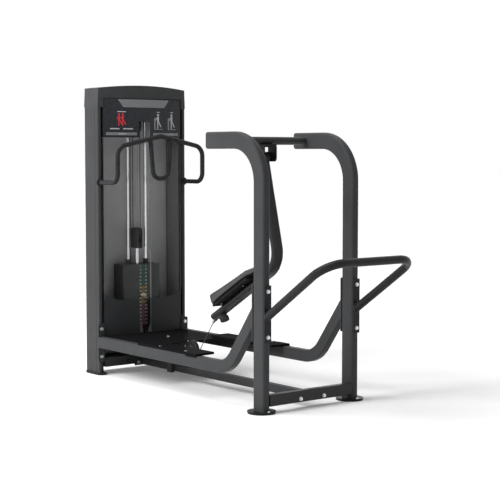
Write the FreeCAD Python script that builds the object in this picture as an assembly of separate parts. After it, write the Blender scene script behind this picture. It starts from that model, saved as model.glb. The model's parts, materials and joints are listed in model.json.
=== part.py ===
"""Standing rear kick machine: a hung lever with a pad, driven against a weight stack by a cable.

The frame of the part: +X from the weight tower towards the guard rail, +Y from the near side to the
far side, +Z up. The origin lies on the floor, in the middle of the overall length and width.
"""
import FreeCAD
import Part
import math
import os

V = FreeCAD.Vector
AXIS_X = V(1, 0, 0)
AXIS_Y = V(0, 1, 0)
AXIS_Z = V(0, 0, 1)
NEAR = -1
FAR = 1
SIDES = (NEAR, FAR)

# Driving sizes, in millimetres and degrees
overall_length = 2445.0
overall_height = 1934.0
tower_half_width = 355.0
guard_reach = 520.0
post_height = 1606.5
post_arm_reach = 536.0
rail_height = 221.5
arm_lower_length = 725.0

# Clearances
running_gap = 0.3
shaft_gap = 0.05
bolt_gap = 0.25
overrun = 5.0
tiny = 1e-6

# Flat-oval steel tube of the posts
rail_inset = 13.0
post_depth = 100.0
post_width = 50.0
post_corner = 15.0
tube_wall = 3.0
post_bend = 240.0
cap_thickness = 14.5
cap_edge_radius = 11.6

# Round tubes
round_tube = 48.3
round_wall = 3.0
crossbar_inset = 95.5
crossbar_drop = 51.1

# Rails
rail_depth = 75.0
rail_corner = 8.0
rail_rise = 53.5
rail_bend = 198.0
end_plate = 8.0
end_plate_bottom = 410.0
end_plate_height = 325.0
rail_end_rise = 146.0
tower_plate_bottom = 95.0
tower_plate_height = 247.0
tower_bolt_inset = 32.0

# Low frame
cross_bottom = 39.0
cross_height = 68.0
cross_depth = 50.0
beam_width = 50.0
beam_bottom = 43.0
beam_height = 50.0
beam_front_plate_width = 240.0
beam_rear_plate_width = 150.0
beam_front_bolt_spacing = 180.0
beam_rear_bolt_spacing = 90.0
beam_bolt_rise = 17.5
beam_plug_place = 124.0
beam_plug_size = 32.0
beam_plug_hole = 8.0
support_length = 50.0
support_width = 25.0
support_share = 0.624

# Guard rail
guard_start_rise = 150.7
guard_slope = 33.7
guard_corner = 130.0

# Bolts
bolt_radius = 6.0
bolt_head_flats = 18.0
bolt_head_height = 7.5
washer_radius = 12.0
washer_thickness = 2.5
post_bolt_low_inset = 30.0
post_bolt_high_inset = 34.0

# Feet
foot_radius = 83.0
foot_plate_height = 6.0
foot_pad_height = 8.0
foot_pad_inset = 3.0
column_foot_length = 200.0
column_foot_width = 76.0

# Weight tower
column_width = 48.0
column_corner = 10.0
column_rebate = 22.0
column_rebate_depth = 26.0
groove_back = 38.0
groove_width = 3.0
groove_depth = 1.5
foot_overhang = 8.5
cap_height = 148.0
cap_crown = 22.0
cap_taper = 7.0
cap_recess_drop = 89.0
cap_wall = 5.0
front_bulge = 28.0
front_inset = 41.0
panel_thickness = 5.0
panel_flange = 4.0
slot_flange_depth = 15.0
slot_half_width = 48.0
placard_drop = 203.0
notch_height = 112.0
slot_corner = 14.0
cover_height = 271.0
shield_sag = 38.0
shield_corner = 44.0
panel_joint = 3.0
rear_panel = 3.0
rear_panel_lap = 20.0

# Structure inside the tower
top_beam_height = 50.0
top_beam_depth = 110.0
base_beam_depth = 40.0
base_beam_bottom = 50.0
base_beam_height = 61.0
stack_rail_width = 40.0
stack_rail_height = 69.0

# Weight stack
stack_front_gap = 14.5
stack_back_gap = 29.0
plate_length = 300.0
plate_depth = 125.0
plate_pitch = 24.5
plate_count = 17
lifted_count = 9
stack_bottom = 309.5
plate_corner = 8.0
rod_radius = 10.0
rod_spacing = 144.0
rod_hole_gap = 3.0
stem_radius = 14.0
stem_hole_gap = 1.5
stem_rise = 120.0
stem_overlap = 12.0
pin_radius = 5.0
pin_hole_gap = 0.6
pin_knob_radius = 14.0
pin_knob_length = 34.0
bush_wall = 7.0
bush_height = 34.0
cushion_wall = 13.0
cushion_height = 30.0
cushion_tube_wall = 8.0

# Pulleys and cable
cable_radius = 2.8
pulley_cable_radius = 60.0
pulley_rim = 5.0
pulley_width = 22.0
axle_radius = 6.0
fork_plate = 6.0
fork_gap = 1.5
fork_slot = 26.0
fork_width_share = 0.62
floor_pulley_from_pivot = 724.3
floor_pulley_height = 202.0
riser_from_back = 15.0
top_pulley_drop = 69.0
stack_pulley_radius = 44.0
stack_pulley_rise = 80.0
anchor_drop = 146.0
anchor_block = 24.0

# Handle
handle_radius = 15.5
handle_reach = 218.0
handle_foot_drop = 498.0
handle_shoulder_rise = 232.0
handle_peak_rise = 306.0
handle_foot_bend = 62.0
handle_shoulder_bend = 72.0
handle_peak_bend = 62.0
loop_radius = 15.0
loop_half_width = 60.0
loop_bend = 54.0
loop_top_half_width = 84.0
loop_rise = 25.0
handle_flange_radius = 26.0
handle_flange = 6.0

# Deck
deck_thickness = 5.0
deck_from_pulley = 7.0
deck_bolt_share = 0.582
foot_plate_reach = 554.0
foot_plate_skew = 12.0
foot_plate_overlap = 87.0
foot_plate_inner_inset = 117.0
foot_plate_thickness = 13.2
foot_plate_corner = 5.0
lip_length = 110.0
lip_thickness = 4.0
lip_drop = 9.5
screw_radius = 9.0
screw_height = 2.5
front_screw_inset = 148.0
back_screw_inset = 222.0

# Lever
pivot_from_crossbar = 18.2
pivot_drop = 146.5
hub_radius = 30.0
hub_bore = 22.0
shaft_radius = 12.5
arm_width = 80.0
arm_depth = 40.0
arm_edge_flat = 0.5
arm_tilt = 13.9
arm_slope = 30.3
arm_bend = 154.0
arm_upper_drop = 646.7
arm_cap = 5.0

# Pivot bracket, measured from the pivot
ear_thickness = 9.0
ear_gap = 1.2
ear_ahead = 72.7
ear_neck_behind = 1.3
ear_behind = 41.3
ear_below = 29.0
ear_above = 30.0
ear_corner = 20.0
saddle_drop = 38.4
saddle_thickness = 18.0
saddle_width = 98.0

# Pad: from the elbow and the arm's low end, with shares of its length from its own low end
pad_width = 200.0
pad_end_inset = 113.0
pad_nose_place = 117.0
pad_upper_share = 0.822
pad_low_thickness = 70.0
pad_upper_thickness = 43.0
pad_nose_thickness = 36.0
pad_nose_drop = 14.5
pad_crown = 4.0
pad_side_round = 12.0
pad_thin_round_share = 0.4
pad_end_round = 5.0
pad_bend_share = 0.7
pad_board_thickness = 12.0
pad_board_inset = 10.0
pad_board_share = 0.782
pad_board_overhang = 5.0
pad_bracket_thickness = 4.0
pad_bracket_width = 30.0
pad_bracket_length = 120.0
pad_bracket_shares = (0.59, 0.077)
pad_screw_radius = 6.0
pad_screw_height = 3.5

# Bumper and cable lug on the arm
bumper_radius = 30.0
bumper_height = 45.0
bumper_waist = 24.0
bumper_inset = 70.0
lug_length = 36.0
lug_width = 26.0
lug_thickness = 10.0
lug_drop = 12.0

# Places across and along, worked out from the sizes above
frame_centre = tower_half_width - rail_inset
front_half_width = tower_half_width - front_inset
foot_plate_inner = frame_centre - foot_plate_inner_inset
column_depth = stack_front_gap + plate_depth + stack_back_gap
x_back = -overall_length / 2
x_post = overall_length / 2 - guard_reach
x_post_back = x_post - post_depth
x_column_back = x_back + foot_overhang
x_tower = x_column_back + column_depth
x_stack = x_tower - stack_front_gap - plate_depth / 2
x_crossbar = x_post - post_arm_reach + crossbar_inset
x_pivot = x_crossbar - pivot_from_crossbar
x_floor_pulley = x_pivot - floor_pulley_from_pivot
x_deck_front = x_floor_pulley - deck_from_pulley
x_slot_back = x_floor_pulley - pulley_cable_radius - pulley_rim - overrun
x_deck_bolt = x_tower + (x_slot_back - x_tower) * deck_bolt_share
x_support = x_tower + (x_deck_front - x_tower) * support_share
x_foot_plate_back = x_deck_front - foot_plate_overlap
x_foot_plate_front = x_deck_front + foot_plate_reach
x_riser = x_column_back + riser_from_back
x_upright_pulley = x_riser + pulley_cable_radius
x_stack_pulley = x_upright_pulley + pulley_cable_radius - stack_pulley_radius

# Heights worked out from the sizes above
foot_top = foot_pad_height + foot_plate_height
rail_top = rail_height + rail_depth / 2
end_plate_top = end_plate_bottom + end_plate_height
rail_end_height = end_plate_bottom + rail_end_rise
guard_start_height = end_plate_bottom + guard_start_rise
tower_plate_top = tower_plate_bottom + tower_plate_height
beam_bolt_height = beam_bottom + beam_bolt_rise
crossbar_height = post_height - crossbar_drop
pivot_height = post_height - pivot_drop
arm_elbow_height = pivot_height - arm_upper_drop
column_height = overall_height - cap_height
cap_recess_bottom = overall_height - cap_recess_drop
placard_bottom = column_height - placard_drop
slot_top = placard_bottom + notch_height
shield_bottom = rail_top + cover_height
stack_top = stack_bottom + plate_count * plate_pitch
stem_top = stack_top + stem_rise
stack_pulley_height = stem_top + stack_pulley_rise
top_beam_bottom = column_height - top_beam_height
top_pulley_height = top_beam_bottom - top_pulley_drop
anchor_height = top_beam_bottom - anchor_drop
handle_foot_height = column_height - handle_foot_drop

# Places along the arm's lower run
pad_end = arm_lower_length - pad_end_inset
pad_length = pad_end - pad_nose_place
bumper_place = arm_lower_length - bumper_inset

# Radii worked out from the sizes above
arm_corner = arm_depth / 2 - arm_edge_flat
stem_hole = stem_radius + stem_hole_gap
rod_hole = rod_radius + rod_hole_gap
pin_hole = pin_radius + pin_hole_gap


# Plain shapes

def box(corner, opposite):
    """A box between any two opposite corners."""
    low = V(min(corner.x, opposite.x), min(corner.y, opposite.y), min(corner.z, opposite.z))
    high = V(max(corner.x, opposite.x), max(corner.y, opposite.y), max(corner.z, opposite.z))
    return Part.makeBox(high.x - low.x, high.y - low.y, high.z - low.z, low)


def rod(radius, start, end):
    """A cylinder from one point to another."""
    return Part.makeCylinder(radius, (end - start).Length, start, end - start)


def join(shapes):
    """One solid out of shapes that touch or overlap."""
    first = shapes[0]
    return first.fuse(list(shapes[1:])).removeSplitter()


def group(shapes):
    """Separate solids kept together in one node."""
    return Part.makeCompound(list(shapes))


def round_edges(shape, radius, direction):
    """Fillets every straight edge that runs along a direction."""
    edges = []
    for edge in shape.Edges:
        if edge.Curve.TypeId != "Part::GeomLine":
            continue
        along = edge.Curve.Direction
        if abs(abs(along.dot(direction)) - 1) < tiny:
            edges.append(edge)
    return shape.makeFillet(radius, edges)


def rounded_outline(centre, across, upward, width, height, corner):
    """A closed rectangle with round corners; across and upward are unit vectors."""
    half_w = width / 2
    half_h = height / 2
    slant = corner * (1 - math.sqrt(0.5))

    def at(a, b):
        return centre + across * a + upward * b

    edges = []
    turns = ((1, 1), (-1, 1), (-1, -1), (1, -1))
    for index, (sa, sb) in enumerate(turns):
        along = at(sa * half_w, sb * (half_h - corner))
        above = at(sa * (half_w - corner), sb * half_h)
        middle = at(sa * (half_w - slant), sb * (half_h - slant))
        first, last = (along, above) if sa * sb > 0 else (above, along)
        edges.append(Part.Arc(first, middle, last).toShape())
        na, nb = turns[(index + 1) % len(turns)]
        if na * nb > 0:
            following = at(na * half_w, nb * (half_h - corner))
        else:
            following = at(na * (half_w - corner), nb * half_h)
        edges.append(Part.LineSegment(last, following).toShape())
    return Part.Wire(edges)


def route(points, radii):
    """Straight runs through points, joined by tangent arcs at the inner points."""
    edges = []
    start = points[0]
    for index, radius in enumerate(radii):
        corner = points[index + 1]
        incoming = (corner - points[index]).normalize()
        outgoing = (points[index + 2] - corner).normalize()
        turn = incoming.getAngle(outgoing)
        tangent = radius * math.tan(turn / 2)
        inward = (outgoing - incoming).normalize()
        before = corner - incoming * tangent
        after = corner + outgoing * tangent
        middle = corner + inward * (radius / math.cos(turn / 2) - radius)
        if (before - start).Length > tiny:
            edges.append(Part.LineSegment(start, before).toShape())
        edges.append(Part.Arc(before, middle, after).toShape())
        start = after
    edges.append(Part.LineSegment(start, points[-1]).toShape())
    return Part.Wire(edges)


def swept(path, outline):
    """A solid that an outline leaves on its way along a path."""
    return path.makePipeShell([outline], True, False)


def round_bar(path, radius):
    """A round bar along a path."""
    start = path.Edges[0].valueAt(path.Edges[0].FirstParameter)
    ahead = path.Edges[0].tangentAt(path.Edges[0].FirstParameter)
    return swept(path, Part.Wire(Part.makeCircle(radius, start, ahead)))


def round_pipe(path, radius, wall):
    """A round tube with a bore along a path."""
    return round_bar(path, radius).cut(round_bar(path, radius - wall))


def oval_pipe(path, across, upward, width, height, corner, wall):
    """A flat-oval or rectangular tube with a bore along a path."""
    start = path.Edges[0].valueAt(path.Edges[0].FirstParameter)
    outer = swept(path, rounded_outline(start, across, upward, width, height, corner))
    bore = rounded_outline(start, across, upward, width - 2 * wall, height - 2 * wall,
                           max(corner - wall, wall / 2))
    return outer.cut(swept(path, bore))


def prism(points, direction):
    """A straight block over a closed outline of corner points."""
    return Part.Face(Part.makePolygon(list(points) + [points[0]])).extrude(direction)


# Fasteners

def bolt(seat, direction, length):
    """A hexagon bolt with a washer: the seat is the point under the washer."""
    direction = V(direction).normalize()
    washer = rod(washer_radius, seat, seat + direction * washer_thickness)
    corner = bolt_head_flats / 2 / math.cos(math.pi / 6)
    across = AXIS_Z if abs(direction.z) < 0.5 else AXIS_X
    other = direction.cross(across)
    base = seat + direction * washer_thickness
    points = []
    for step in range(6):
        angle = math.radians(60 * step)
        points.append(base + across * (corner * math.cos(angle)) + other * (corner * math.sin(angle)))
    head = prism(points, direction * bolt_head_height)
    shank = rod(bolt_radius, seat - direction * length, seat + direction * washer_thickness)
    return join([washer, head, shank])


def bolt_hole(seat, direction, length):
    """The hole that a bolt's shank passes through."""
    direction = V(direction).normalize()
    return rod(bolt_radius + bolt_gap, seat - direction * (length + bolt_gap), seat + direction * overrun)


def post_bolt_places():
    """Seats on the guard's clamp plates, from the front, through the posts and the rails' end plates."""
    depth = end_plate + post_depth + end_plate
    for side in SIDES:
        for height in (end_plate_bottom + post_bolt_low_inset, end_plate_top - post_bolt_high_inset):
            yield V(x_post + end_plate, side * frame_centre, height), AXIS_X, depth


def tower_bolt_places():
    """Seats on the rails' end plates at the columns."""
    for side in SIDES:
        for height in (tower_plate_bottom + tower_bolt_inset, tower_plate_top - tower_bolt_inset):
            seat = V(x_tower + end_plate, side * frame_centre, height)
            yield seat, AXIS_X, end_plate + column_foot_width / 2


def beam_bolt_places():
    """Seats on the cross member's front face and on the low beam's rear end plate."""
    for side in SIDES:
        seat = V(x_post, side * beam_front_bolt_spacing / 2, beam_bolt_height)
        yield seat, AXIS_X, cross_depth + end_plate
    for side in SIDES:
        seat = V(x_tower + end_plate, side * beam_rear_bolt_spacing / 2, beam_bolt_height)
        yield seat, AXIS_X, end_plate + base_beam_depth


def frame_bolts():
    """All the large bolts that hold the frame together."""
    places = list(post_bolt_places()) + list(tower_bolt_places()) + list(beam_bolt_places())
    return group([bolt(seat, direction, length) for seat, direction, length in places])


def drilled(shape, places):
    """A shape with the holes of the bolts at some places."""
    return shape.cut([bolt_hole(seat, direction, length) for seat, direction, length in places])


# Posts and what joins them

def post_path(side):
    """The centreline of a post and its top arm, from the floor plate up and back."""
    x_centre = x_post - post_depth / 2
    z_arm = post_height - post_depth / 2
    y = side * frame_centre
    return route([V(x_centre, y, foot_top), V(x_centre, y, z_arm), V(x_post - post_arm_reach, y, z_arm)],
                 [post_bend])


def post(side):
    """A post: one bent flat-oval tube, bored for its two bolts."""
    tube = oval_pipe(post_path(side), AXIS_X, AXIS_Y, post_depth, post_width, post_corner, tube_wall)
    return drilled(tube, post_bolt_places())


def end_plugs():
    """The plastic caps of the two top arms, and the square plugs on the tower's base beam."""
    caps = beam_plugs()
    x_end = x_post - post_arm_reach
    z_arm = post_height - post_depth / 2
    for side in SIDES:
        centre = V(x_end, side * frame_centre, z_arm)
        outline = rounded_outline(centre, AXIS_Y, AXIS_Z, post_width, post_depth, post_corner)
        cover = Part.Face(outline).extrude(AXIS_X * -cap_thickness)
        rims = []
        for edge in cover.Edges:
            place = edge.BoundBox
            if abs(place.XMin - (x_end - cap_thickness)) < tiny and place.XLength < tiny:
                rims.append(edge)
        cover = cover.makeFillet(cap_edge_radius, rims)
        inner = tube_wall + running_gap
        plug_outline = rounded_outline(centre, AXIS_Y, AXIS_Z, post_width - 2 * inner,
                                       post_depth - 2 * inner, post_corner - inner)
        plug = Part.Face(plug_outline).extrude(AXIS_X * cap_thickness)
        caps.append(join([cover, plug]))
    return group(caps)


def crossbar():
    """The round tube between the two top arms, which carries the pivot bracket."""
    reach = frame_centre - post_width / 2
    ends = [V(x_crossbar, -reach, crossbar_height), V(x_crossbar, reach, crossbar_height)]
    outer = rod(round_tube / 2, *ends)
    return outer.cut(rod(round_tube / 2 - round_wall, *ends))


def ear(side):
    """One ear of the pivot bracket, in the plane of the swing, with its lower corners rounded."""
    y = side * (arm_width / 2 + ear_gap)
    top = crossbar_height - saddle_drop
    step = pivot_height + ear_above
    low = pivot_height - ear_below
    outline = [
        (ear_ahead, top), (ear_ahead, low), (-ear_behind, low),
        (-ear_behind, step), (-ear_neck_behind, step), (-ear_neck_behind, top),
    ]
    plate = prism([V(x_pivot + ahead, y, height) for ahead, height in outline],
                  AXIS_Y * (side * ear_thickness))
    corners = []
    for edge in plate.Edges:
        if edge.BoundBox.ZMax < low + tiny and edge.BoundBox.XLength < tiny:
            corners.append(edge)
    return plate.makeFillet(ear_corner, corners)


def pivot_bracket():
    """Two ears under a saddle that is welded to the crossbar."""
    saddle_bottom = crossbar_height - saddle_drop
    x_front = x_pivot + ear_ahead
    x_rear = x_pivot - ear_neck_behind
    saddle = box(V(x_rear, -saddle_width / 2, saddle_bottom), V(x_front, saddle_width / 2, crossbar_height))
    bar = rod(round_tube / 2, V(x_crossbar, -saddle_width, crossbar_height),
              V(x_crossbar, saddle_width, crossbar_height))
    roof = box(V(x_rear - overrun, -saddle_width, saddle_bottom + saddle_thickness),
               V(x_front + overrun, saddle_width, crossbar_height + overrun))
    shape = join([saddle.cut([bar, roof]), ear(NEAR), ear(FAR)])
    reach = saddle_width
    hole = rod(shaft_radius + shaft_gap, V(x_pivot, -reach, pivot_height), V(x_pivot, reach, pivot_height))
    return shape.cut(hole)


def pivot_shaft():
    """The shaft that the lever turns on, with a screwed head against each ear."""
    outer = arm_width / 2 + ear_gap + ear_thickness
    shapes = [rod(shaft_radius, V(x_pivot, -outer, pivot_height), V(x_pivot, outer, pivot_height))]
    for side in SIDES:
        seat = V(x_pivot, side * outer, pivot_height)
        shapes.append(rod(shaft_radius + overrun, seat, seat + AXIS_Y * (side * washer_thickness)))
        shapes.append(rod(bolt_head_flats / 2, seat, seat + AXIS_Y * (side * bolt_head_height)))
    return join(shapes)


def cross_member():
    """The front cross member between the posts."""
    reach = frame_centre - post_width / 2
    outer = box(V(x_post - cross_depth, -reach, cross_bottom), V(x_post, reach, cross_bottom + cross_height))
    outer = round_edges(outer, rail_corner, AXIS_Y)
    bore = box(V(x_post - cross_depth + tube_wall, -reach, cross_bottom + tube_wall),
               V(x_post - tube_wall, reach, cross_bottom + cross_height - tube_wall))
    return drilled(outer.cut(bore), beam_bolt_places())


def low_beam():
    """The central beam along the floor, with an end plate at each end."""
    front = x_post - cross_depth
    back = x_tower
    y = beam_width / 2
    outer = box(V(back, -y, beam_bottom), V(front, y, beam_bottom + beam_height))
    outer = round_edges(outer, rail_corner, AXIS_X)
    bore = box(V(back, -y + tube_wall, beam_bottom + tube_wall),
               V(front, y - tube_wall, beam_bottom + beam_height - tube_wall))
    plates = []
    ends = ((front, -end_plate, beam_front_plate_width), (back, end_plate, beam_rear_plate_width))
    for edge, depth, width in ends:
        plates.append(box(V(edge, -width / 2, cross_bottom),
                          V(edge + depth, width / 2, beam_bottom + beam_height)))
    return drilled(join([outer] + plates).cut(bore), beam_bolt_places())


def beam_plugs():
    """Two square plugs beside the low beam's rear plate, on the tower's front base beam."""
    plugs = []
    for side in SIDES:
        centre = V(x_tower, side * beam_plug_place, base_beam_bottom + beam_plug_size / 2 + overrun)
        outline = rounded_outline(centre, AXIS_Y, AXIS_Z, beam_plug_size, beam_plug_size, end_plate / 2)
        plate = Part.Face(outline).extrude(AXIS_X * end_plate)
        plugs.append(plate.cut(rod(beam_plug_hole, centre, centre + AXIS_X * (end_plate + overrun))))
    return plugs


def rail(side):
    """A side rail: level beside the deck, then up to the post's back, with its two end plates."""
    y = side * frame_centre
    rise = math.tan(math.radians(rail_rise))
    knee = x_post_back - (rail_end_height - rail_height) / rise
    past = post_depth
    path = route([V(x_tower, y, rail_height), V(knee, y, rail_height),
                  V(x_post_back + past, y, rail_end_height + past * rise)], [rail_bend])
    tube = oval_pipe(path, AXIS_Y, AXIS_Z, post_width, rail_depth, rail_corner, tube_wall)
    beyond = box(V(x_post_back - end_plate, y - post_width, 0),
                 V(x_post_back + 2 * post_depth, y + post_width, overall_height))
    tube = tube.cut(beyond)
    half = post_width / 2
    post_plate = box(V(x_post_back - end_plate, y - half, end_plate_bottom),
                     V(x_post_back, y + half, end_plate_top))
    tower_plate = box(V(x_tower, y - half, tower_plate_bottom),
                      V(x_tower + end_plate, y + half, tower_plate_top))
    tower_plate = round_edges(tower_plate, end_plate, AXIS_X)
    shape = join([tube, post_plate, tower_plate])
    return drilled(shape, list(post_bolt_places()) + list(tower_bolt_places()))


def guard_rail():
    """The U-shaped guard rail behind the user, with the plates that clamp it to the posts."""
    x_plate = x_post + end_plate
    x_end = x_post + guard_reach - round_tube / 2
    z_end = guard_start_height + (x_end - x_plate) * math.tan(math.radians(guard_slope))
    corners = [V(x_plate - overrun, 0, guard_start_height - overrun), V(x_end, 0, z_end)]
    start, corner = corners
    y = AXIS_Y * frame_centre
    path = route([start - y, corner - y, corner + y, start + y], [guard_corner, guard_corner])
    tube = round_pipe(path, round_tube / 2, round_wall)
    behind = box(V(x_post_back, -overall_length, 0), V(x_plate, overall_length, overall_height))
    shapes = [tube.cut(behind)]
    for side in SIDES:
        edge = side * frame_centre
        shapes.append(box(V(x_post, edge - post_width / 2, end_plate_bottom),
                          V(x_plate, edge + post_width / 2, end_plate_top)))
    return drilled(join(shapes), post_bolt_places())


def racetrack(centre, length, width, height):
    """A flat plate with two round ends, lying on the floor plane of its centre."""
    straight = (length - width) / 2
    shapes = [rod(width / 2, centre + AXIS_X * end, centre + AXIS_X * end + AXIS_Z * height)
              for end in (-straight, straight)]
    shapes.append(box(centre - AXIS_X * straight - AXIS_Y * (width / 2),
                      centre + AXIS_X * straight + AXIS_Y * (width / 2) + AXIS_Z * height))
    return join(shapes)


def foot_centres():
    """The middle of each post's foot and of each column's foot, on the floor."""
    for side in SIDES:
        yield "post", V(x_post - post_depth / 2, side * frame_centre, 0)
    for side in SIDES:
        y = side * (tower_half_width - column_width / 2)
        yield "column", V(x_back + column_foot_length / 2, y, 0)


def floor_plates():
    """Steel foot plates under the posts and the columns."""
    plates = []
    for kind, centre in foot_centres():
        low = centre + AXIS_Z * foot_pad_height
        if kind == "post":
            plates.append(rod(foot_radius, low, low + AXIS_Z * foot_plate_height))
        else:
            plates.append(racetrack(low, column_foot_length, column_foot_width, foot_plate_height))
    return group(plates)


def foot_pads():
    """Rubber pads between the foot plates and the floor."""
    pads = []
    for kind, centre in foot_centres():
        if kind == "post":
            pads.append(rod(foot_radius - foot_pad_inset, centre, centre + AXIS_Z * foot_pad_height))
        else:
            pads.append(racetrack(centre, column_foot_length - 2 * foot_pad_inset,
                                  column_foot_width - 2 * foot_pad_inset, foot_pad_height))
    return group(pads)


# Deck

def deck():
    """The sheet between the rails in front of the tower, with a slot for the floor pulley."""
    half = frame_centre - post_width / 2 - running_gap
    top = rail_top
    low = V(x_tower + running_gap, -half, top - deck_thickness)
    plate = box(low, V(x_deck_front, half, top))
    slot = box(V(x_slot_back, -fork_slot, 0), V(x_post, fork_slot, overall_height))
    hole = bolt_hole(V(x_deck_bolt, 0, top), AXIS_Z, deck_thickness)
    return plate.cut([slot, hole])


def foot_plate(side):
    """A foot plate on a rail, skewed at its front, with a lip that hangs over the rail's flank."""
    outer = frame_centre + post_width / 2 + running_gap
    bottom = rail_top
    top = bottom + foot_plate_thickness
    corners = [
        V(x_foot_plate_back, side * foot_plate_inner, bottom),
        V(x_foot_plate_front - foot_plate_skew, side * foot_plate_inner, bottom),
        V(x_foot_plate_front, side * outer, bottom),
        V(x_foot_plate_back, side * outer, bottom),
    ]
    slab = round_edges(prism(corners, AXIS_Z * foot_plate_thickness), foot_plate_corner, AXIS_Z)
    lip_front = x_foot_plate_front - foot_plate_corner
    lip = box(V(lip_front - lip_length, side * outer, bottom - lip_drop),
              V(lip_front, side * (outer + lip_thickness), top))
    holes = [screw_hole(place) for place in foot_plate_screws(side)]
    return join([slab, lip]).cut(holes)


def foot_plate_screws(side):
    """The places of the screws that hold a foot plate to its rail."""
    return [V(x, side * frame_centre, rail_top + foot_plate_thickness)
            for x in (x_foot_plate_front - front_screw_inset, x_foot_plate_back + back_screw_inset)]


def screw_hole(place):
    """The hole of a deck screw's shank."""
    return rod(bolt_radius / 2 + bolt_gap, place - AXIS_Z * (foot_plate_thickness + overrun),
               place + AXIS_Z * overrun)


def deck_screws():
    """Low round screws in the foot plates, and the bolt in the deck."""
    shapes = []
    for side in SIDES:
        for place in foot_plate_screws(side):
            head = rod(screw_radius, place, place + AXIS_Z * screw_height)
            shank = rod(bolt_radius / 2, place - AXIS_Z * (foot_plate_thickness - running_gap), place)
            shapes.append(join([head, shank]))
    shapes.append(bolt(V(x_deck_bolt, 0, rail_top), AXIS_Z, deck_thickness))
    return group(shapes)


def deck_supports():
    """Two short uprights beside the low beam, under the deck."""
    top = rail_top - deck_thickness
    shapes = []
    for side in SIDES:
        inner = side * beam_width / 2
        outer = side * (beam_width / 2 + support_width)
        shapes.append(box(V(x_support, inner, beam_bottom - foot_plate_height),
                          V(x_support + support_length, outer, top)))
    return group(shapes)


# Tower

def column(side):
    """A side column of the tower, with a rebate for the shields and a shadow groove on its flank."""
    outer = side * tower_half_width
    inner = side * (tower_half_width - column_width)
    shell = box(V(x_column_back, outer, foot_top), V(x_tower, inner, column_height))
    shell = round_edges(shell, column_corner, AXIS_Z)
    rebate_reach = side * (tower_half_width - column_rebate)
    rebate = box(V(x_tower - column_rebate_depth, inner - side * overrun, 0),
                 V(x_tower + overrun, rebate_reach, overall_height))
    bore = box(V(x_column_back + tube_wall, outer - side * tube_wall, 0),
               V(x_tower - column_rebate_depth - tube_wall, inner + side * tube_wall, overall_height))
    groove = box(V(x_tower - groove_back, outer - side * groove_depth, 0),
                 V(x_tower - groove_back + groove_width, outer + side * overrun, overall_height))
    rail_flat = box(V(x_tower - column_rebate_depth - overrun, side * (front_half_width + running_gap),
                      tower_plate_bottom - end_plate),
                    V(x_tower + overrun, outer, tower_plate_top + end_plate))
    shape = shell.cut([rebate.cut(rail_flat), bore, groove])
    return drilled(shape, tower_bolt_places())


def front_x(y):
    """How far forward the tower's bulged front lies at a place across it."""
    share = y / front_half_width
    return x_tower + front_bulge * (1 - share * share)


def front_outline(y_start, y_end, setback):
    """An arc in plan that follows the tower's front, set back by some depth."""
    middle = (y_start + y_end) / 2
    points = [V(front_x(y) - setback, y, 0) for y in (y_start, middle, y_end)]
    return Part.Arc(*points).toShape()


def front_panel(y_start, y_end, bottom, top, setback, thickness):
    """A curved panel of the tower's front between two places across and two heights."""
    outer = front_outline(y_start, y_end, setback)
    inner = front_outline(y_start, y_end, setback + thickness)
    outer_ends = [outer.valueAt(outer.FirstParameter), outer.valueAt(outer.LastParameter)]
    inner_ends = [inner.valueAt(inner.FirstParameter), inner.valueAt(inner.LastParameter)]
    edges = [outer, Part.LineSegment(outer_ends[1], inner_ends[1]).toShape(), inner,
             Part.LineSegment(inner_ends[0], outer_ends[0]).toShape()]
    face = Part.Face(Part.Wire(Part.__sortEdges__(edges)))
    face.translate(AXIS_Z * bottom)
    return face.extrude(AXIS_Z * (top - bottom))


def front_cutter(outline):
    """A block along X over a closed outline of (y, z) edges, which cuts through the front panels."""
    face = Part.Face(outline)
    return face.extrude(AXIS_X * (front_bulge + column_depth))


def shield_outline(side, gap):
    """The outline of a smoked shield, seen from the front: square above, sagging arc below."""
    x = x_tower - column_depth / 2
    outer = side * (front_half_width - gap)
    inner = side * (slot_half_width + gap)
    top = placard_bottom - gap
    low_outer = shield_bottom + gap
    low_inner = shield_bottom - shield_sag + gap
    corner = shield_corner
    start = V(x, outer, top)
    turn_a = V(x, outer, low_outer + corner)
    share = 1 - math.sqrt(0.5)
    turn_b = V(x, outer - side * corner, low_outer - shield_sag * share)
    turn_mid = V(x, outer - side * corner * share, low_outer + corner * share - shield_sag * share / 2)
    low_mid = V(x, side * (front_half_width + slot_half_width) / 2, low_inner + shield_sag * share / 2)
    end = V(x, inner, low_inner)
    edges = [
        Part.LineSegment(start, turn_a).toShape(),
        Part.Arc(turn_a, turn_mid, turn_b).toShape(),
        Part.Arc(turn_b, low_mid, end).toShape(),
        Part.LineSegment(end, V(x, inner, top)).toShape(),
        Part.LineSegment(V(x, inner, top), start).toShape(),
    ]
    return Part.Wire(edges)


def shield(side):
    """A smoked plastic shield beside the slot, curved in plan."""
    ends = sorted((side * front_half_width, side * slot_half_width))
    bottom = shield_bottom - 2 * shield_sag
    blank = front_panel(ends[0], ends[1], bottom, placard_bottom, 0, panel_thickness)
    blank = join([blank, edge_flange(side, bottom, placard_bottom), slot_flange(side, bottom, placard_bottom)])
    return blank.common(front_cutter(shield_outline(side, 0)))


def lower_covers():
    """The two opaque covers below the shields, cut to the shields' lower edge."""
    covers = []
    for side in SIDES:
        ends = sorted((side * front_half_width, side * slot_half_width))
        bottom = rail_top + running_gap
        top = shield_bottom + shield_corner
        blank = front_panel(ends[0], ends[1], bottom, top, 0, panel_thickness)
        blank = join([blank, edge_flange(side, bottom, top), slot_flange(side, bottom, top)])
        covers.append(blank.cut(front_cutter(shield_outline(side, -panel_joint))))
    return group(covers)


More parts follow.
